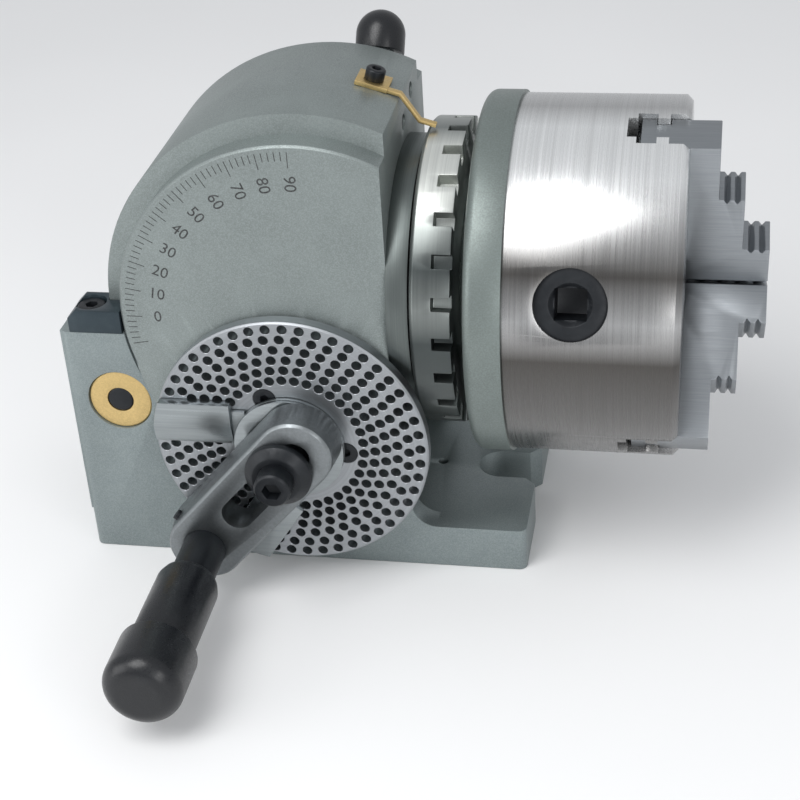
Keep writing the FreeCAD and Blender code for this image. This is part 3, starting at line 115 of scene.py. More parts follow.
def soften(piece: bpy.types.Object, width: float, angle: float) -> None:
    """Round the sharp edges a little, as machining and paint do.

    Args:
        piece: the object to change.
        width: size of the rounding in mm.
        angle: only edges sharper than this many degrees are rounded.
    """
    apply_modifier(piece, "BEVEL", width=width * MM, segments=BEVEL_FACES, limit_method="ANGLE",
                   angle_limit=math.radians(angle), use_clamp_overlap=True,
                   harden_normals=False)


def smooth(piece: bpy.types.Object) -> None:
    """Shade smoothly, but keep the sharper edges crisp.

    Args:
        piece: the object to shade.
    """
    activate(piece)
    bpy.ops.object.shade_smooth_by_angle(angle=math.radians(SHADE_ANGLE))


def place(piece: bpy.types.Object, matrix: Matrix) -> None:
    """Move a piece drawn at the origin and apply the move to its mesh.

    Args:
        piece: the object to move.
        matrix: its new place, in metres.
    """
    activate(piece)
    piece.matrix_world = matrix
    bpy.ops.object.transform_apply(location=True, rotation=True, scale=True)


def frame_at(origin: Place, along: Vector, across: Vector | None = None) -> Matrix:
    """Matrix that lays local +Z along a direction.

    Args:
        origin: the point, in mm, where the local origin goes.
        along: the direction of local +Z.
        across: the direction of local +X, if it matters.

    Returns:
        The matrix, in metres.
    """
    z = along.normalized()
    x = (across or z.orthogonal()).normalized()
    y = z.cross(x)
    basis = Matrix((x, y, z)).transposed().to_4x4()
    return Matrix.Translation(Vector(origin) * MM) @ basis


def join(pieces: Sequence[bpy.types.Object], name: str) -> bpy.types.Object:
    """Join several meshes into one object.

    Args:
        pieces: the objects to join; the first one stays.
        name: the joined object's name.

    Returns:
        The joined object.
    """
    deselect()
    for piece in pieces:
        piece.select_set(True)
    bpy.context.view_layer.objects.active = pieces[0]
    if len(pieces) > 1:
        bpy.ops.object.join()
    pieces[0].name = name
    return pieces[0]


def tidy_mesh(piece: bpy.types.Object) -> None:
    """Merge doubled vertices and turn every face outwards.

    Args:
        piece: the object to clean.
    """
    activate(piece)
    bpy.ops.object.mode_set(mode="EDIT")
    bpy.ops.mesh.select_all(action="SELECT")
    bpy.ops.mesh.remove_doubles(threshold=MERGE)
    bpy.ops.mesh.normals_make_consistent(inside=False)
    bpy.ops.object.mode_set(mode="OBJECT")


def lathe(name: str, outline: Outline, segments: int, loop: bool) -> bpy.types.Object:
    """Turn an outline about local +Z: a circle is extruded and scaled from station to station.

    Args:
        name: the new object's name.
        outline: (along, radius) stations in mm.
        segments: vertices round the circle.
        loop: whether the outline closes on itself, as a tube's does.

    Returns:
        The turned object, drawn about the world's Z axis.
    """
    stations = [(along, max(radius, POLE)) for along, radius in outline]
    if loop:
        stations.append(stations[0])
    deselect()
    along, radius = stations[0]
    bpy.ops.mesh.primitive_circle_add(vertices=segments, radius=radius * MM,
                                      location=(0, 0, along * MM))
    piece = bpy.context.object
    piece.name = name
    bpy.ops.object.transform_apply(location=True, rotation=True, scale=True)
    bpy.ops.object.mode_set(mode="EDIT")
    bpy.ops.mesh.select_all(action="SELECT")
    for next_along, next_radius in stations[1:]:
        bpy.ops.mesh.extrude_region_move(
            TRANSFORM_OT_translate={"value": (0, 0, (next_along - along) * MM)})
        factor = next_radius / radius
        bpy.ops.transform.resize(value=(factor, factor, 1),
                                 center_override=(0, 0, next_along * MM))
        along, radius = next_along, next_radius
    bpy.ops.object.mode_set(mode="OBJECT")
    tidy_mesh(piece)
    return piece


def turned(name: str, x: float, z: float, outline: Outline, segments: int = ROUND_FACES,
           loop: bool = False) -> bpy.types.Object:
    """Turn an outline about an axis that lies along Y.

    Args:
        name: the new object's name.
        x: where the axis is, in mm.
        z: its height in mm.
        outline: (along, radius) stations in mm.
        segments: vertices round the circle.
        loop: whether the outline closes on itself.

    Returns:
        The turned object in its place.
    """
    piece = lathe(name, outline, segments, loop)
    place(piece, frame_at((x, 0.0, z), CRANK_AXIS, UPWARDS))
    return piece


def block(name: str, low: Place, high: Place) -> bpy.types.Object:
    """Box between two corners.

    Args:
        name: the new object's name.
        low: the lowest corner in mm.
        high: the highest corner in mm.

    Returns:
        The box.
    """
    deselect()
    centre = (Vector(low) + Vector(high)) * 0.5 * MM
    bpy.ops.mesh.primitive_cube_add(size=1, location=centre)
    piece = bpy.context.object
    piece.name = name
    piece.scale = (Vector(high) - Vector(low)) * MM
    bpy.ops.object.transform_apply(location=True, rotation=True, scale=True)
    return piece


def duplicate(piece: bpy.types.Object) -> bpy.types.Object:
    """Copy a piece with its own mesh.

    Args:
        piece: the object to copy.

    Returns:
        The copy.
    """
    activate(piece)
    bpy.ops.object.duplicate(linked=False)
    return bpy.context.object


def ring_copies(piece: bpy.types.Object, count: int, first: float) -> list[bpy.types.Object]:
    """Copies of a piece turned round the crank axis; the piece itself is used up.

    Args:
        piece: the object to repeat.
        count: how many share out the full circle.
        first: turn of the first copy in degrees.

    Returns:
        The copies.
    """
    middle = Matrix.Translation(Vector((WORM_X, 0, WORM_Z)) * MM)
    step = 360.0 / count
    copies = []
    for k in range(count):
        copy = duplicate(piece)
        turn = Matrix.Rotation(math.radians(first + k * step), 4, CRANK_AXIS)
        place(copy, middle @ turn @ middle.inverted())
        copies.append(copy)
    bpy.data.objects.remove(piece)
    return copies


def cut(piece: bpy.types.Object, tools: Sequence[bpy.types.Object]) -> None:
    """Cut tools from a piece.

    Args:
        piece: the object that stays.
        tools: the objects that are used up.
    """
    tool = join(tools, "tool")
    apply_modifier(piece, "BOOLEAN", object=tool, operation="DIFFERENCE", solver="EXACT",
                   use_self=False)
    bpy.data.objects.remove(tool)


def refined(node: str, softness: float, angle: float) -> bpy.types.Object:
    """Finished copy of a part: merged, freed of flat seams, softened at its edges and shaded.

    Args:
        node: the part's name.
        softness: size of the edge rounding in mm; 0 leaves the edges sharp.
        angle: edges sharper than this many degrees are rounded.

    Returns:
        The copy.
    """
    activate(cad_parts[node])
    bpy.ops.object.duplicate(linked=False)
    piece = bpy.context.object
    for key in list(piece.keys()):
        del piece[key]
    piece.parent = None
    piece.name = f"{node}_finished"
    piece.data.materials.clear()
    bpy.ops.object.mode_set(mode="EDIT")
    bpy.ops.mesh.select_all(action="SELECT")
    bpy.ops.mesh.customdata_custom_splitnormals_clear()
    bpy.ops.mesh.remove_doubles(threshold=MERGE)
    bpy.ops.mesh.dissolve_limited(angle_limit=math.radians(FLAT_ANGLE))
    bpy.ops.object.mode_set(mode="OBJECT")
    if softness:
        soften(piece, softness, angle)
    smooth(piece)
    return piece


# ---------------------------------------------------------------- materials
class Surface:
    """A node material with short ways to add and join nodes."""

    def __init__(self, name: str) -> None:
        """Start a material.

        Args:
            name: the material's name.
        """
        self.material = bpy.data.materials.new(name)
        self.material.use_nodes = True
        self.nodes = self.material.node_tree.nodes
        self.shader = self.nodes["Principled BSDF"]
        self.coordinates = self.nodes.new("ShaderNodeTexCoord").outputs["Object"]

    def join(self, source: bpy.types.NodeSocket, target: bpy.types.NodeSocket) -> None:
        """Link two sockets.

        Args:
            source: the output.
            target: the input.
        """
        self.material.node_tree.links.new(source, target)

    def add(self, kind: str, inputs: dict[str | int, object] | None = None,
            **settings: object) -> bpy.types.Node:
        """Add a node.

        Args:
            kind: the node's type after "ShaderNode".
            inputs: a value or a socket for each named or numbered input.
            settings: values for the node's properties.

        Returns:
            The node.
        """
        node = self.nodes.new("ShaderNode" + kind)
        for key, value in settings.items():
            setattr(node, key, value)
        for key, value in (inputs or {}).items():
            if isinstance(value, bpy.types.NodeSocket):
                self.join(value, node.inputs[key])
            else:
                node.inputs[key].default_value = value
        return node

    def mapped(self, centre: Place = (0, 0, 0),
               stretch: Place = (1, 1, 1)) -> bpy.types.NodeSocket:
        """Object coordinates moved to a centre and stretched.

        Args:
            centre: the new origin in mm.
            stretch: the factor on each axis.

        Returns:
            The vector socket.
        """
        shift = self.add("VectorMath", {0: self.coordinates, 1: Vector(centre) * MM},
                         operation="SUBTRACT")
        scaled = self.add("VectorMath", {0: shift.outputs[0], 1: stretch}, operation="MULTIPLY")
        return scaled.outputs[0]

    def noise(self, vector: bpy.types.NodeSocket, scale: float, detail: float = 3.0,
              rough: float = 0.6) -> bpy.types.NodeSocket:
        """Noise between 0 and 1.

        Args:
            vector: where it is read.
            scale: spots per metre.
            detail: number of finer layers.
            rough: how strong the finer layers are.

        Returns:
            The value socket.
        """
        node = self.add("TexNoise", {"Vector": vector, "Scale": scale, "Detail": detail,
                                     "Roughness": rough})
        return node.outputs["Fac"]

    def ramp(self, value: bpy.types.NodeSocket, low: float, high: float, start: float = 0.0,
             end: float = 1.0) -> bpy.types.NodeSocket:
        """Map a span of values on to another span, held at its ends.

        Args:
            value: the socket to map.
            low: input that gives start.
            high: input that gives end.
            start: lowest result.
            end: highest result.

        Returns:
            The value socket.
        """
        node = self.add("MapRange", {"Value": value, "From Min": low, "From Max": high,
                                     "To Min": start, "To Max": end})
        return node.outputs["Result"]

    def mix(self, factor: bpy.types.NodeSocket, first: Tone, second: Tone) -> bpy.types.NodeSocket:
        """Mix two colours.

        Args:
            factor: share of the second colour.
            first: a colour or a socket.
            second: a colour or a socket.

        Returns:
            The colour socket.
        """
        node = self.add("Mix", {"Factor": factor}, data_type="RGBA")
        for index, colour in ((6, first), (7, second)):
            if isinstance(colour, bpy.types.NodeSocket):
                self.join(colour, node.inputs[index])
            else:
                node.inputs[index].default_value = (*colour, 1.0)
        return node.outputs[2]

    def bump(self, height: bpy.types.NodeSocket, depth: float, strength: float = 1.0) -> None:
        """Raise the surface by a height.

        Args:
            height: the value socket.
            depth: height of a full step in mm.
            strength: share of it that shows.
        """
        node = self.add("Bump", {"Height": height, "Distance": depth * MM, "Strength": strength})
        self.join(node.outputs["Normal"], self.shader.inputs["Normal"])

    def lathe_marks(self, grain: Grain, fine: float) -> bpy.types.NodeSocket:
        """Vector whose noise follows the tool's marks.

        Args:
            grain: which way the marks run.
            fine: marks per metre.

        Returns:
            The vector socket.
        """
        if grain is Grain.ALONG_X:
            return self.mapped(stretch=(fine * GROUND_STRETCH, fine, fine))
        if grain is Grain.NONE:
            return self.mapped(stretch=(fine, fine, fine))
        around_x = grain is Grain.TURNED_X
        centre = (0, 0, CENTRE_HEIGHT) if around_x else (WORM_X, 0, WORM_Z)
        flat = self.mapped(centre, (0, 1, 1) if around_x else (1, 0, 1))
        radius = self.add("VectorMath", {0: flat}, operation="LENGTH").outputs["Value"]
        parts = self.add("SeparateXYZ", {0: self.mapped(centre)})
        along = parts.outputs["X" if around_x else "Y"]
        wander = self.noise(self.mapped(centre), 30.0, 2.0)
        joined = self.add("CombineXYZ", {"X": along, "Y": radius})
        scaled = self.add("VectorMath", {0: joined.outputs[0], "Scale": fine}, operation="SCALE")
        drift = self.add("CombineXYZ", {"Z": wander})
        marks = self.add("VectorMath", {0: scaled.outputs[0], 1: drift.outputs[0]},
                         operation="ADD")
        return marks.outputs[0]

    def gloss(self, value: bpy.types.NodeSocket, low: float, high: float, start: float,
              end: float) -> None:
        """Let a value set the roughness.

        Args:
            value: the socket that the roughness follows.
            low: value that gives start.
            high: value that gives end.
            start: roughness at the low end.
            end: roughness at the high end.
        """
        self.join(self.ramp(value, low, high, start, end), self.shader.inputs["Roughness"])

    def finished(self, colour: bpy.types.NodeSocket, metallic: float) -> bpy.types.Material:
        """Set the colour and how metallic the surface is.

        Args:
            colour: the base colour.
            metallic: share of metal, 0 to 1.

        Returns:
            The material.
        """
        self.join(colour, self.shader.inputs["Base Color"])
        self.shader.inputs["Metallic"].default_value = metallic
        return self.material


@dataclass(frozen=True)
class CastPaint:
    """Grey paint on a casting: fine speckle, soft mottling and a slight orange-peel surface."""

    name: str
    colour: Colour
    dark: Colour
    speckle: float = 2600.0
    rough: float = 0.42
    metallic: float = 0.55
    peel: float = 0.05
    lighter: float = 1.10

    def build(self) -> bpy.types.Material:
        """Make the material.

        Returns:
            The material.
        """
        surface = Surface(self.name)
        spots = surface.noise(surface.mapped(), self.speckle, 2.0, 0.7)
        clouds = surface.noise(surface.mapped(), 60.0, 3.0)
        speckled = surface.mix(surface.ramp(spots, 0.40, 0.66), self.dark, self.colour)
        light = tuple(min(1.0, c * self.lighter) for c in self.colour)
        colour = surface.mix(surface.ramp(clouds, 0.35, 0.75, 0.0, 0.35), speckled, light)
        surface.gloss(spots, 0.3, 0.7, self.rough + 0.1, self.rough - 0.06)
        surface.bump(spots, self.peel, 0.35)
        return surface.finished(colour, self.metallic)


@dataclass(frozen=True)
class MachinedMetal:
    """Bare metal with tool marks, slight stains and a gloss that changes along the marks."""

    name: str
    colour: Colour
    grain: Grain = Grain.NONE
    rough: float = 0.28
    fine: float = 2600.0
    depth: float = 0.01
    stain: float = 0.18

    def build(self) -> bpy.types.Material:
        """Make the material.

        Returns:
            The material.
        """
        surface = Surface(self.name)
        marks = surface.noise(surface.lathe_marks(self.grain, self.fine), 1.0, 4.0, 0.65)
        stains = surface.noise(surface.mapped(), 45.0, 4.0)
        dull = tuple(c * (1 - self.stain) for c in self.colour)
        streaked = surface.mix(surface.ramp(marks, 0.3, 0.7), dull, self.colour)
        colour = surface.mix(surface.ramp(stains, 0.45, 0.8, 0.0, 0.5), streaked, dull)
        surface.gloss(marks, 0.25, 0.75, self.rough + 0.08, self.rough - 0.05)
        surface.bump(marks, self.depth, 0.5)
        return surface.finished(colour, 1.0)


@dataclass(frozen=True)
class BandedSteel:
    """Polished cylinder about the spindle: fine lathe marks, and painted reflections of a lit
    workshop, stripes of painted shade and painted highlight set by the angle round the spindle
    axis.
    """

    name: str
    # The three colours are tones of painted reflections: dark for painted shade, colour for the
    # middle tone and the third for painted highlights.
    colour: Colour
    dark: Colour
    bright: Colour
    rough: float = 0.26
    fine: float = 2200.0
    streaks: float = 0.22
    depth: float = 0.01
    metallic: float = 0.9

    def build(self) -> bpy.types.Material:
        """Make the material.

        Returns:
            The material.
        """
        surface = Surface(self.name)
        marks = surface.noise(surface.lathe_marks(Grain.TURNED_X, self.fine), 1.0, 4.0, 0.65)
        # Painted reflections: a colour ramp round the spindle axis paints dark and light stripes
        # of a lit workshop. They are fixed to the piece and turn with the spindle.
        flat = surface.mapped((0, 0, CENTRE_HEIGHT), (0, 1, 1))
        parts = surface.add("SeparateXYZ", {0: flat})
        angle = surface.add("Math", {0: parts.outputs["Z"], 1: parts.outputs["Y"]},
                            operation="ARCTAN2")
        turn = surface.ramp(angle.outputs[0], -math.pi, math.pi)
        painted_reflection_bands = surface.add("ValToRGB", {0: turn})
        steps = painted_reflection_bands.color_ramp
        for end in (0, 1):
            steps.elements[end].color = (*self.dark, 1.0)
        for position, tone in self.stops():
            steps.elements.new(position).color = (*tone, 1.0)
        streak = surface.ramp(marks, 0.3, 0.7, 0.0, self.streaks)
        colour = surface.mix(streak, painted_reflection_bands.outputs["Color"], self.dark)
        surface.gloss(marks, 0.25, 0.75, self.rough + 0.08, self.rough - 0.05)
        surface.bump(marks, self.depth, 0.4)
        return surface.finished(colour, self.metallic)

    def stops(self) -> tuple[tuple[float, Colour], ...]:
        """Tones of the painted reflections round the cylinder, between the two dark ends.

        Returns:
            (share of the turn, tone) pairs; the turn starts and ends at the front.
        """
        return ((0.25, self.colour), (0.60, self.bright), (0.75, self.colour),
                (0.785, self.bright), (0.845, self.bright), (0.885, self.colour),
                (0.925, self.dark), (0.965, self.colour))


@dataclass(frozen=True)
class BlackFinish:
    """Black oxide on steel or smooth black plastic, a little uneven and worn."""

    name: str
    colour: Colour
    worn: Colour
    rough: float = 0.38
    metallic: float = 0.4
    depth: float = 0.02

    def build(self) -> bpy.types.Material:
        """Make the material.

        Returns:
            The material.
        """
        surface = Surface(self.name)
        grains = surface.noise(surface.mapped(), 1500.0, 3.0, 0.7)
        patches = surface.noise(surface.mapped(), 90.0, 4.0)
        colour = surface.mix(surface.ramp(patches, 0.5, 0.8, 0.0, 0.6), self.colour, self.worn)
        surface.gloss(grains, 0.3, 0.7, self.rough - 0.06, self.rough + 0.1)
        surface.bump(grains, self.depth, 0.3)
        return surface.finished(colour, self.metallic)


@dataclass(frozen=True)
class InkFill:
    """Black paint rubbed into engraved lines and figures."""

    name: str
    colour: Colour
    thin: Colour
    rough: float = 0.55
    depth: float = 0.02

    def build(self) -> bpy.types.Material:
        """Make the material.

        Returns:
            The material.
        """
        surface = Surface(self.name)
        worn = surface.noise(surface.mapped(), 1800.0, 3.0, 0.7)
        colour = surface.mix(surface.ramp(worn, 0.45, 0.7, 0.0, 0.8), self.colour, self.thin)
        surface.shader.inputs["Roughness"].default_value = self.rough
        surface.bump(worn, self.depth, 0.3)
        return surface.finished(colour, 0.0)


class Finish(Enum):
    """Every finish on the machine."""

    CAST_GREY = CastPaint("cast_grey", (0.27, 0.31, 0.31), (0.20, 0.235, 0.24))
    HEAD_GREY = CastPaint("head_grey", (0.26, 0.295, 0.29), (0.19, 0.215, 0.21))
    PLATE_GREY = CastPaint("plate_grey", (0.20, 0.235, 0.225), (0.16, 0.185, 0.175),
                           2000.0, 0.38)
    # Chuck and ring steel carry painted reflections: dark, middle and highlight tones painted
    # round the spindle axis.
    CHUCK_STEEL = BandedSteel("chuck_steel", (0.50, 0.50, 0.50), (0.09, 0.085, 0.08),
                              (0.93, 0.94, 0.94))
    RING_STEEL = BandedSteel("ring_steel", (0.26, 0.28, 0.27), (0.07, 0.08, 0.08),
                             (0.80, 0.82, 0.78), 0.34)
    NOSE_STEEL = MachinedMetal("nose_steel", (0.16, 0.18, 0.175), Grain.TURNED_X, 0.36, 2600.0)
    JAW_STEEL = MachinedMetal("jaw_steel", (0.34, 0.36, 0.38), Grain.ALONG_X, 0.34, 3000.0)
    PLATE_METAL = MachinedMetal("plate_metal", (0.42, 0.44, 0.46), Grain.TURNED_Y, 0.42, 1800.0)
    SECTOR_STEEL = MachinedMetal("sector_steel", (0.36, 0.39, 0.40), Grain.ALONG_X, 0.30, 1200.0)
    CRANK_STEEL = MachinedMetal("crank_steel", (0.27, 0.29, 0.30), Grain.NONE, 0.38, 900.0)
    BRASS = MachinedMetal("brass_bush", (0.72, 0.53, 0.24), Grain.NONE, 0.40, 1500.0)
    BLACK_OXIDE = BlackFinish("black_oxide", (0.010, 0.012, 0.015), (0.028, 0.032, 0.036))
    BLUE_BLACK = BlackFinish("blue_black", (0.030, 0.045, 0.055), (0.055, 0.075, 0.085),
                             0.34, 0.5)
    GRIP_BLACK = BlackFinish("grip_black", (0.006, 0.007, 0.009), (0.012, 0.014, 0.017),
                             0.30, 0.0)
    INK = InkFill("engraving_ink", (0.02, 0.02, 0.02), (0.10, 0.11, 0.11))


_made: dict[Finish, bpy.types.Material] = {}


def paint(piece: bpy.types.Object, finish: Finish) -> bpy.types.Object:
    """Give a piece one finish all over.

    Args:
        piece: the object to paint.
        finish: its finish.

    Returns:
        The same object.
    """
    if finish not in _made:
        _made[finish] = finish.value.build()
    piece.data.materials.clear()
    piece.data.materials.append(_made[finish])
    return piece


def fit(piece: bpy.types.Object, body: str, slot: str, *nodes: str) -> None:
    """Hand a finished piece to the machine.

    Args:
        piece: the finished object.
        body: the body that it rides on.
        slot: the record's material slot; not used.
        nodes: the parts that it stands for.
    """
    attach(piece, body)
    if nodes:
        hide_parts(*nodes)
    log.info("%s rides on %s, %d faces", piece.name, body, len(piece.data.polygons))


@dataclass(frozen=True)
class Dressing:
    """How one part that keeps its shape is finished."""

    node: str
    slot: str
    finish: Finish
    softness: float
    angle: float = EDGE_ANGLE


@dataclass
class SubAssembly:
    """Parts of one body that are finished as they are."""

    body: str
    parts: Sequence[Dressing]

    def build(self) -> None:
        """Finish each part."""
        for part in self.parts:
            piece = paint(refined(part.node, part.softness, part.angle), part.finish)
            fit(piece, self.body, part.slot, part.node)


# ---------------------------------------------------------------- sub-assemblies
@dataclass
class BaseUnit(SubAssembly):
    """Slotted base with its clamp blocks, brass bushes and cross bolt."""

    body: str = "base"
    parts: Sequence[Dressing] = (
        Dressing("base_casting", "base_paint", Finish.CAST_GREY, 0.5),
        Dressing("clamp_blocks", "black_steel", Finish.BLUE_BLACK, 0.4),
        Dressing("clamp_block_screws", "black_steel", Finish.BLACK_OXIDE, 0.2),
        Dressing("clamp_bushes", "brass", Finish.BRASS, 0.2),
        Dressing("cross_clamp_bolt", "black_steel", Finish.BLACK_OXIDE, 0.3),
    )


@dataclass
class SwivelHead(SubAssembly):
    """Tilting housing with its bearing, scale, pointer, index plate and locks."""

    body: str = "head"
    parts: Sequence[Dressing] = (
        Dressing("swivel_housing", "head_paint", Finish.HEAD_GREY, 0.4),
        Dressing("front_bearing", "ground_steel", Finish.NOSE_STEEL, 0.3),
        Dressing("front_bearing_screws", "black_steel", Finish.BLACK_OXIDE, 0.1),
        Dressing("rear_bush", "bronze", Finish.BRASS, 0.1),
        Dressing("nose_set_screws", "black_steel", Finish.BLACK_OXIDE, 0.1),
        Dressing("worm_sleeve", "ground_steel", Finish.CRANK_STEEL, 0.1),
        Dressing("index_plate_screws", "black_steel", Finish.BLACK_OXIDE, 0.1),
        Dressing("retaining_ring", "black_steel", Finish.BLACK_OXIDE, 0.0),
        Dressing("pointer_plate", "brass", Finish.BRASS, 0.15),
        Dressing("pointer_screw", "black_steel", Finish.BLACK_OXIDE, 0.15),
        Dressing("plunger_bracket", "head_paint", Finish.HEAD_GREY, 0.4),
        Dressing("plunger_bracket_screws", "black_steel", Finish.BLACK_OXIDE, 0.15),
    )
    face_y: float = -42.5
    tick_radius: float = 62.8
    long_tick: float = 5.6
    short_tick: float = 3.2
    tick_width: float = 0.28
    label_radius: float = 51.5
    label_height: float = 4.2
    proud: float = 0.03
    sunk: float = 0.2
    lowest: int = -10
    highest: int = 90
    tick_step: int = 2
    label_step: int = 10

    def build(self) -> None:
        """Finish the parts and add the tilt scale."""
        super().build()
        self.tilt_scale()

    def tilt_scale(self) -> None:
        """Ticks and figures from the lowest tilt to the highest."""
        marks = [self.tick(degrees)
                 for degrees in range(self.lowest, self.highest + 1, self.tick_step)]
        marks += [self.figure(degrees)
                  for degrees in range(self.lowest, self.highest + 1, self.label_step)]
        scale = paint(join(marks, "tilt_scale"), Finish.INK)
        fit(scale, "head", "black_steel")

    def tick(self, degrees: int) -> bpy.types.Object:
        """One line of the scale; those with a figure are longer.

        Args:
            degrees: its place on the scale.

        Returns:
            The line as a thin bar.
        """
        length = self.short_tick if degrees % self.label_step else self.long_tick
        low = (self.tick_radius - length, self.face_y - self.proud, -self.tick_width / 2)
        high = (self.tick_radius, self.face_y + self.sunk, self.tick_width / 2)
        tick = block("tick", low, high)
        turn = Matrix.Rotation(math.radians(-(180 - degrees)), 4, "Y")
        place(tick, Matrix.Translation((0, 0, CENTRE_HEIGHT * MM)) @ turn)
        return tick

    def figure(self, degrees: int) -> bpy.types.Object:
        """One number of the scale, read from the rim inwards.

        Args:
            degrees: its place on the scale.

        Returns:
            The number as a mesh.
        """
        lean = math.radians(180 - degrees)
        outward = Vector((math.cos(lean), 0, math.sin(lean)))
        middle = Vector((0, self.face_y - self.proud, CENTRE_HEIGHT)) + outward * self.label_radius
        return engraved(str(abs(degrees)), self.label_height, self.sunk,
                        frame_at(tuple(middle), -CRANK_AXIS, -outward))


def engraved(words: str, height: float, thickness: float, matrix: Matrix) -> bpy.types.Object:
    """A number as a thin mesh.

    Args:
        words: the number.
        height: height of its figures in mm.
        thickness: thickness of the mesh in mm.
        matrix: where its middle goes; local +X is the reading direction.

    Returns:
        The mesh object.
    """
    deselect()
    bpy.ops.object.text_add()
    text = bpy.context.object
    text.data.body = words
    text.data.size = height * TYPE_SIZE * MM
    text.data.align_x = "CENTER"
    text.data.align_y = "CENTER"
    text.data.extrude = thickness * 0.5 * MM
    text.data.resolution_u = TYPE_STEPS
    bpy.ops.object.convert(target="MESH")
    text = bpy.context.object
    place(text, matrix @ Matrix.Translation((0, 0, -thickness * 0.5 * MM)))
    return text


@dataclass
class IndexPlate:
    """Disc with six circles of round index holes, each with a small lead-in."""

    front: float = -53.0
    back: float = -47.8
    radius: float = 48.8
    bore: float = 12.02
    front_edge: float = 0.6
    back_edge: float = 0.4
    counts: Sequence[int] = (37, 39, 41, 43, 47, 49)
    outer_circle: float = 46.0
    circle_step: float = 4.0
    hole: float = 1.78
    lead_in: float = 0.12
    crank_angle: float = 228.4
    beyond: float = 0.5
    screws: int = 3
    screw_circle: float = 19.7
    screw_turn: float = -23.0
    screw_hole: float = 2.42
    sink_radius: float = 4.3
    sink_depth: float = 2.3
    disc_faces: int = 144
    hole_faces: int = 14
    sink_faces: int = 32

    def build(self) -> None:
        """Turn the disc, drill its holes and fit it."""
        disc = self.disc()
        drills = []
        for circle, count in enumerate(self.counts):
            radius = self.outer_circle - self.circle_step * (len(self.counts) - 1 - circle)
            drills += ring_copies(self.drill(radius), count, -self.crank_angle)
        drills += ring_copies(self.sink(), self.screws, self.screw_turn)
        cut(disc, drills)
        smooth(disc)
        fit(paint(disc, Finish.PLATE_METAL), "head", "index_metal", "index_plate")

    def disc(self) -> bpy.types.Object:
        """The plain disc, with its edges broken.

        Returns:
            The disc.
        """
        outline = ((self.front, self.bore), (self.front, self.radius - self.front_edge),
                   (self.front + self.front_edge, self.radius),
                   (self.back - self.back_edge, self.radius),
                   (self.back, self.radius - self.back_edge), (self.back, self.bore))
        return turned("index_plate_drilled", WORM_X, WORM_Z, outline, self.disc_faces, True)

    def drill(self, radius: float) -> bpy.types.Object:
        """Tool for one index hole, to the right of the crank axis.

        Args:
            radius: the hole circle's radius in mm.

        Returns:
            The closed tool.
        """
        mouth = 0.2     # how far the tool starts in front of the disc
        outline = ((self.front - mouth, self.hole + self.lead_in + mouth),
                   (self.front + self.lead_in, self.hole), (self.back + self.beyond, self.hole))
        tool = turned("drill", WORM_X + radius, WORM_Z, outline, self.hole_faces)
        self.close_ends(tool)
        return tool

    def sink(self) -> bpy.types.Object:
        """Tool for one countersunk screw hole, above the crank axis.

        Returns:
            The closed tool.
        """
        outline = ((self.front - self.beyond, self.sink_radius + self.beyond),
                   (self.front, self.sink_radius),
                   (self.front + self.sink_depth, self.screw_hole),
                   (self.back + self.beyond, self.screw_hole))
        tool = turned("sink", WORM_X, WORM_Z + self.screw_circle, outline, self.sink_faces)
        self.close_ends(tool)
        return tool

    @staticmethod
    def close_ends(tool: bpy.types.Object) -> None:
        """Fill the two open ends of a drill.

        Args:
            tool: the open tube.
        """
        activate(tool)
        bpy.ops.object.mode_set(mode="EDIT")
        bpy.ops.mesh.select_all(action="DESELECT")
        bpy.ops.mesh.select_mode(type="EDGE")
        bpy.ops.mesh.select_non_manifold()
        bpy.ops.mesh.edge_face_add()
        bpy.ops.mesh.select_all(action="SELECT")
        bpy.ops.mesh.normals_make_consistent(inside=False)
        bpy.ops.object.mode_set(mode="OBJECT")


@dataclass
class LeftSector(SubAssembly):
    """The sector arm on the left; the right one is among the moving parts."""

    body: str = "left_sector"
    parts: Sequence[Dressing] = (
        Dressing("sector_arm_left", "sector_steel", Finish.SECTOR_STEEL, 0.2),
    )


@dataclass
class Crank(SubAssembly):
    """Worm shaft and slotted crank arm with its washer, bolt and handle barrel."""

    body: str = "crank"
    parts: Sequence[Dressing] = (
        Dressing("worm_shaft", "ground_steel", Finish.CRANK_STEEL, 0.0),
        Dressing("crank_arm", "crank_steel", Finish.CRANK_STEEL, 0.35),
        Dressing("crank_washer", "black_steel", Finish.BLACK_OXIDE, 0.3),
        Dressing("crank_bolt", "black_steel", Finish.BLACK_OXIDE, 0.2),
        Dressing("handle_barrel", "black_steel", Finish.BLACK_OXIDE, 0.3),
        Dressing("barrel_set_screw", "black_steel", Finish.BLACK_OXIDE, 0.1),
    )


@dataclass
class PinAndGrip(SubAssembly):
    """Spring pin with the grip that draws it out."""

    body: str = "pin"
    parts: Sequence[Dressing] = (
        Dressing("index_pin", "ground_steel", Finish.CRANK_STEEL, 0.1),
        Dressing("handle_grip", "grip_black", Finish.GRIP_BLACK, 0.5),
        Dressing("handle_cap", "grip_black", Finish.GRIP_BLACK, 0.3),
    )


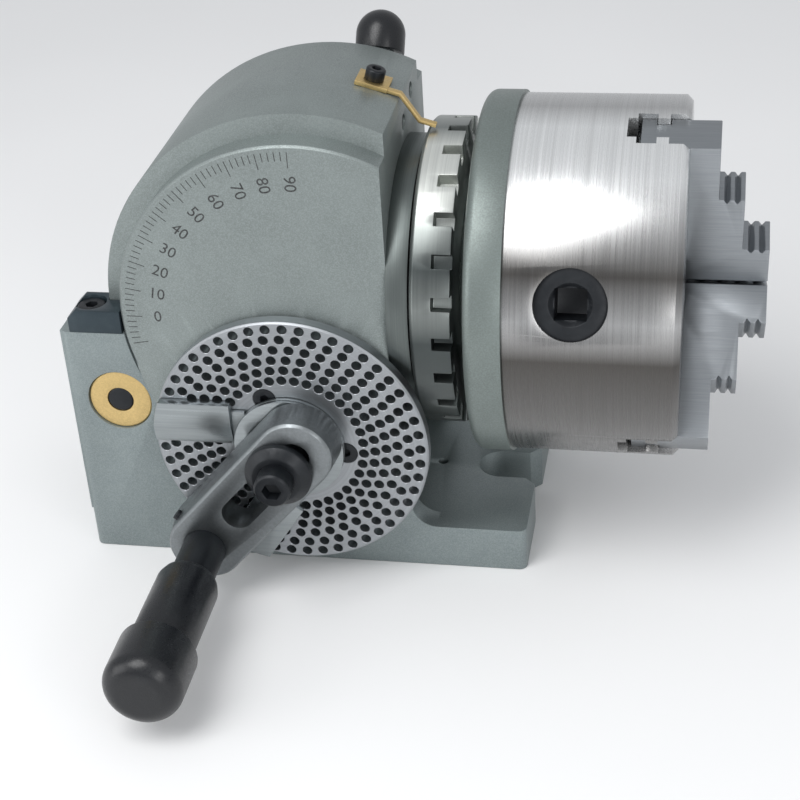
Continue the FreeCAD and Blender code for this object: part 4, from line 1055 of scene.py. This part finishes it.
@dataclass
class SpindleAndChuck(SubAssembly):
    """Everything that turns with the spindle."""

    body: str = "spindle"
    parts: Sequence[Dressing] = (
        Dressing("spindle", "ground_steel", Finish.NOSE_STEEL, 0.2),
        Dressing("worm_wheel", "bronze", Finish.BRASS, 0.0),
        Dressing("worm_wheel_key", "ground_steel", Finish.CRANK_STEEL, 0.0),
        Dressing("worm_wheel_nut", "ground_steel", Finish.CRANK_STEEL, 0.0),
        Dressing("rear_lock_nut", "ground_steel", Finish.NOSE_STEEL, 0.3),
        Dressing("direct_index_ring", "ground_steel", Finish.RING_STEEL, 0.3),
        Dressing("chuck_back_plate", "plate_paint", Finish.PLATE_GREY, 0.3),
        Dressing("back_plate_bolts", "black_steel", Finish.BLACK_OXIDE, 0.2),
        Dressing("chuck_body", "chuck_steel", Finish.CHUCK_STEEL, 0.4),
        Dressing("scroll_cover", "ground_steel", Finish.CRANK_STEEL, 0.0),
    )


MOVING_PARTS = (
    SubAssembly("right_sector", (
        Dressing("sector_arm_right", "sector_steel", Finish.SECTOR_STEEL, 0.2),)),
    SubAssembly("lock", (Dressing("lock_screw", "ground_steel", Finish.CRANK_STEEL, 0.2),
                         Dressing("lock_knob", "grip_black", Finish.GRIP_BLACK, 0.4))),
    SubAssembly("plunger", (Dressing("notch_plunger", "ground_steel", Finish.CRANK_STEEL, 0.1),
                            Dressing("plunger_knob", "black_steel", Finish.BLACK_OXIDE, 0.3))),
    SubAssembly("scroll", (Dressing("chuck_scroll", "ground_steel", Finish.CRANK_STEEL, 0.0),)),
    *(SubAssembly(f"jaw_{k}", (Dressing(f"chuck_jaw_{k}", "jaw_steel", Finish.JAW_STEEL, 0.3),))
      for k in (1, 2, 3)),
    *(SubAssembly(f"pinion_{k}",
                  (Dressing(f"chuck_pinion_{k}", "black_steel", Finish.BLACK_OXIDE, 0.2),))
      for k in (1, 2, 3)),
)


# ---------------------------------------------------------------- studio
@dataclass
class Studio:
    """Camera, pale floor and soft lamps; angles are in radians."""

    eye: Place = (136.9, -538.6, 384.3)
    yaw: float = 0.0440
    pitch: float = -0.5019
    roll: float = 0.0566
    turn_right: float = -0.2211
    turn_up: float = -0.0544
    lens: float = 77.4
    sensor: float = 36.0
    near: float = 0.01
    floor_size: float = 6.0
    floor_z: float = -0.0002
    target: Place = (30, 0, 90)
    key: float = 5.5
    fill: float = 1.6
    world: float = 0.62

    def build(self) -> None:
        """Set up the camera, floor, lamps and background."""
        self.camera()
        self.floor()
        self.lamps()
        self.background()

    def camera(self) -> None:
        """Camera turned by yaw, pitch and roll, then aimed a little aside."""
        ahead = Vector((math.sin(self.yaw) * math.cos(self.pitch),
                        math.cos(self.yaw) * math.cos(self.pitch), math.sin(self.pitch)))
        right = Vector((math.cos(self.yaw), -math.sin(self.yaw), 0))
        up = right.cross(ahead)
        rolled = right * math.cos(self.roll) + up * math.sin(self.roll)
        upright = up * math.cos(self.roll) - right * math.sin(self.roll)
        aim = (ahead + rolled * self.turn_right + upright * self.turn_up).normalized()
        across = aim.cross(upright).normalized()
        lens = bpy.data.cameras.new("camera")
        lens.sensor_width = self.sensor
        lens.lens = self.lens
        lens.clip_start = self.near
        view = bpy.data.objects.new("camera", lens)
        view.matrix_world = frame_at(self.eye, -aim, across)
        bpy.context.scene.collection.objects.link(view)
        bpy.context.scene.camera = view

    def floor(self) -> None:
        """Pale floor, a little wider than any view."""
        deselect()
        bpy.ops.mesh.primitive_plane_add(size=self.floor_size, location=(0, 0, self.floor_z))
        ground = bpy.context.object
        ground.name = "floor"
        surface = Surface("floor_pale")
        tone = surface.noise(surface.mapped(), 3.0, 2.0)
        base = surface.mix(surface.ramp(tone, 0.3, 0.7), (0.86, 0.86, 0.86),
                           (0.90, 0.90, 0.90))
        surface.join(base, surface.shader.inputs["Base Color"])
        surface.shader.inputs["Roughness"].default_value = 0.9
        surface.shader.inputs["Specular IOR Level"].default_value = 0.1
        ground.data.materials.append(surface.material)

    def lamp(self, name: str, at: Place, size: tuple[float, float], power: float) -> None:
        """One rectangular lamp that points at the machine.

        Args:
            name: its name.
            at: its place in mm.
            size: width and height in mm.
            power: watts.
        """
        light = bpy.data.lights.new(name, "AREA")
        light.shape = "RECTANGLE"
        light.size, light.size_y = size[0] * MM, size[1] * MM
        light.energy = power
        holder = bpy.data.objects.new(name, light)
        holder.matrix_world = frame_at(at, Vector(at) - Vector(self.target))
        bpy.context.scene.collection.objects.link(holder)

    def lamps(self) -> None:
        """A broad key lamp above, a low fill at the left and a strip at the right."""
        self.lamp("key_lamp", (-250, -500, 900), (700, 500), self.key)
        self.lamp("fill_lamp", (-700, -500, 300), (500, 500), self.fill)
        self.lamp("strip_lamp", (500, -700, 350), (700, 160), self.fill)

    def background(self) -> None:
        """White where the camera looks, softer as a light."""
        world = bpy.data.worlds.new("studio")
        bpy.context.scene.world = world
        world.use_nodes = True
        nodes, links = world.node_tree.nodes, world.node_tree.links
        path = nodes.new("ShaderNodeLightPath")
        backdrop = nodes.new("ShaderNodeBackground")
        backdrop.inputs["Color"].default_value = (1, 1, 1, 1)
        backdrop.inputs["Strength"].default_value = 1.0
        light = nodes["Background"]
        light.inputs["Color"].default_value = (0.95, 0.97, 1.0, 1)
        light.inputs["Strength"].default_value = self.world
        choose = nodes.new("ShaderNodeMixShader")
        links.new(path.outputs["Is Camera Ray"], choose.inputs["Fac"])
        links.new(light.outputs[0], choose.inputs[1])
        links.new(backdrop.outputs[0], choose.inputs[2])
        links.new(choose.outputs[0], nodes["World Output"].inputs["Surface"])
        bpy.context.scene.view_settings.view_transform = "Standard"


def main() -> None:
    """Build every sub-assembly in order."""
    logging.basicConfig(level=logging.INFO)
    Studio().build()
    for unit in (BaseUnit(), SwivelHead(), IndexPlate(), LeftSector(), Crank(), PinAndGrip(),
                 SpindleAndChuck(), *MOVING_PARTS):
        unit.build()


if __name__ == "__main__":
    main()
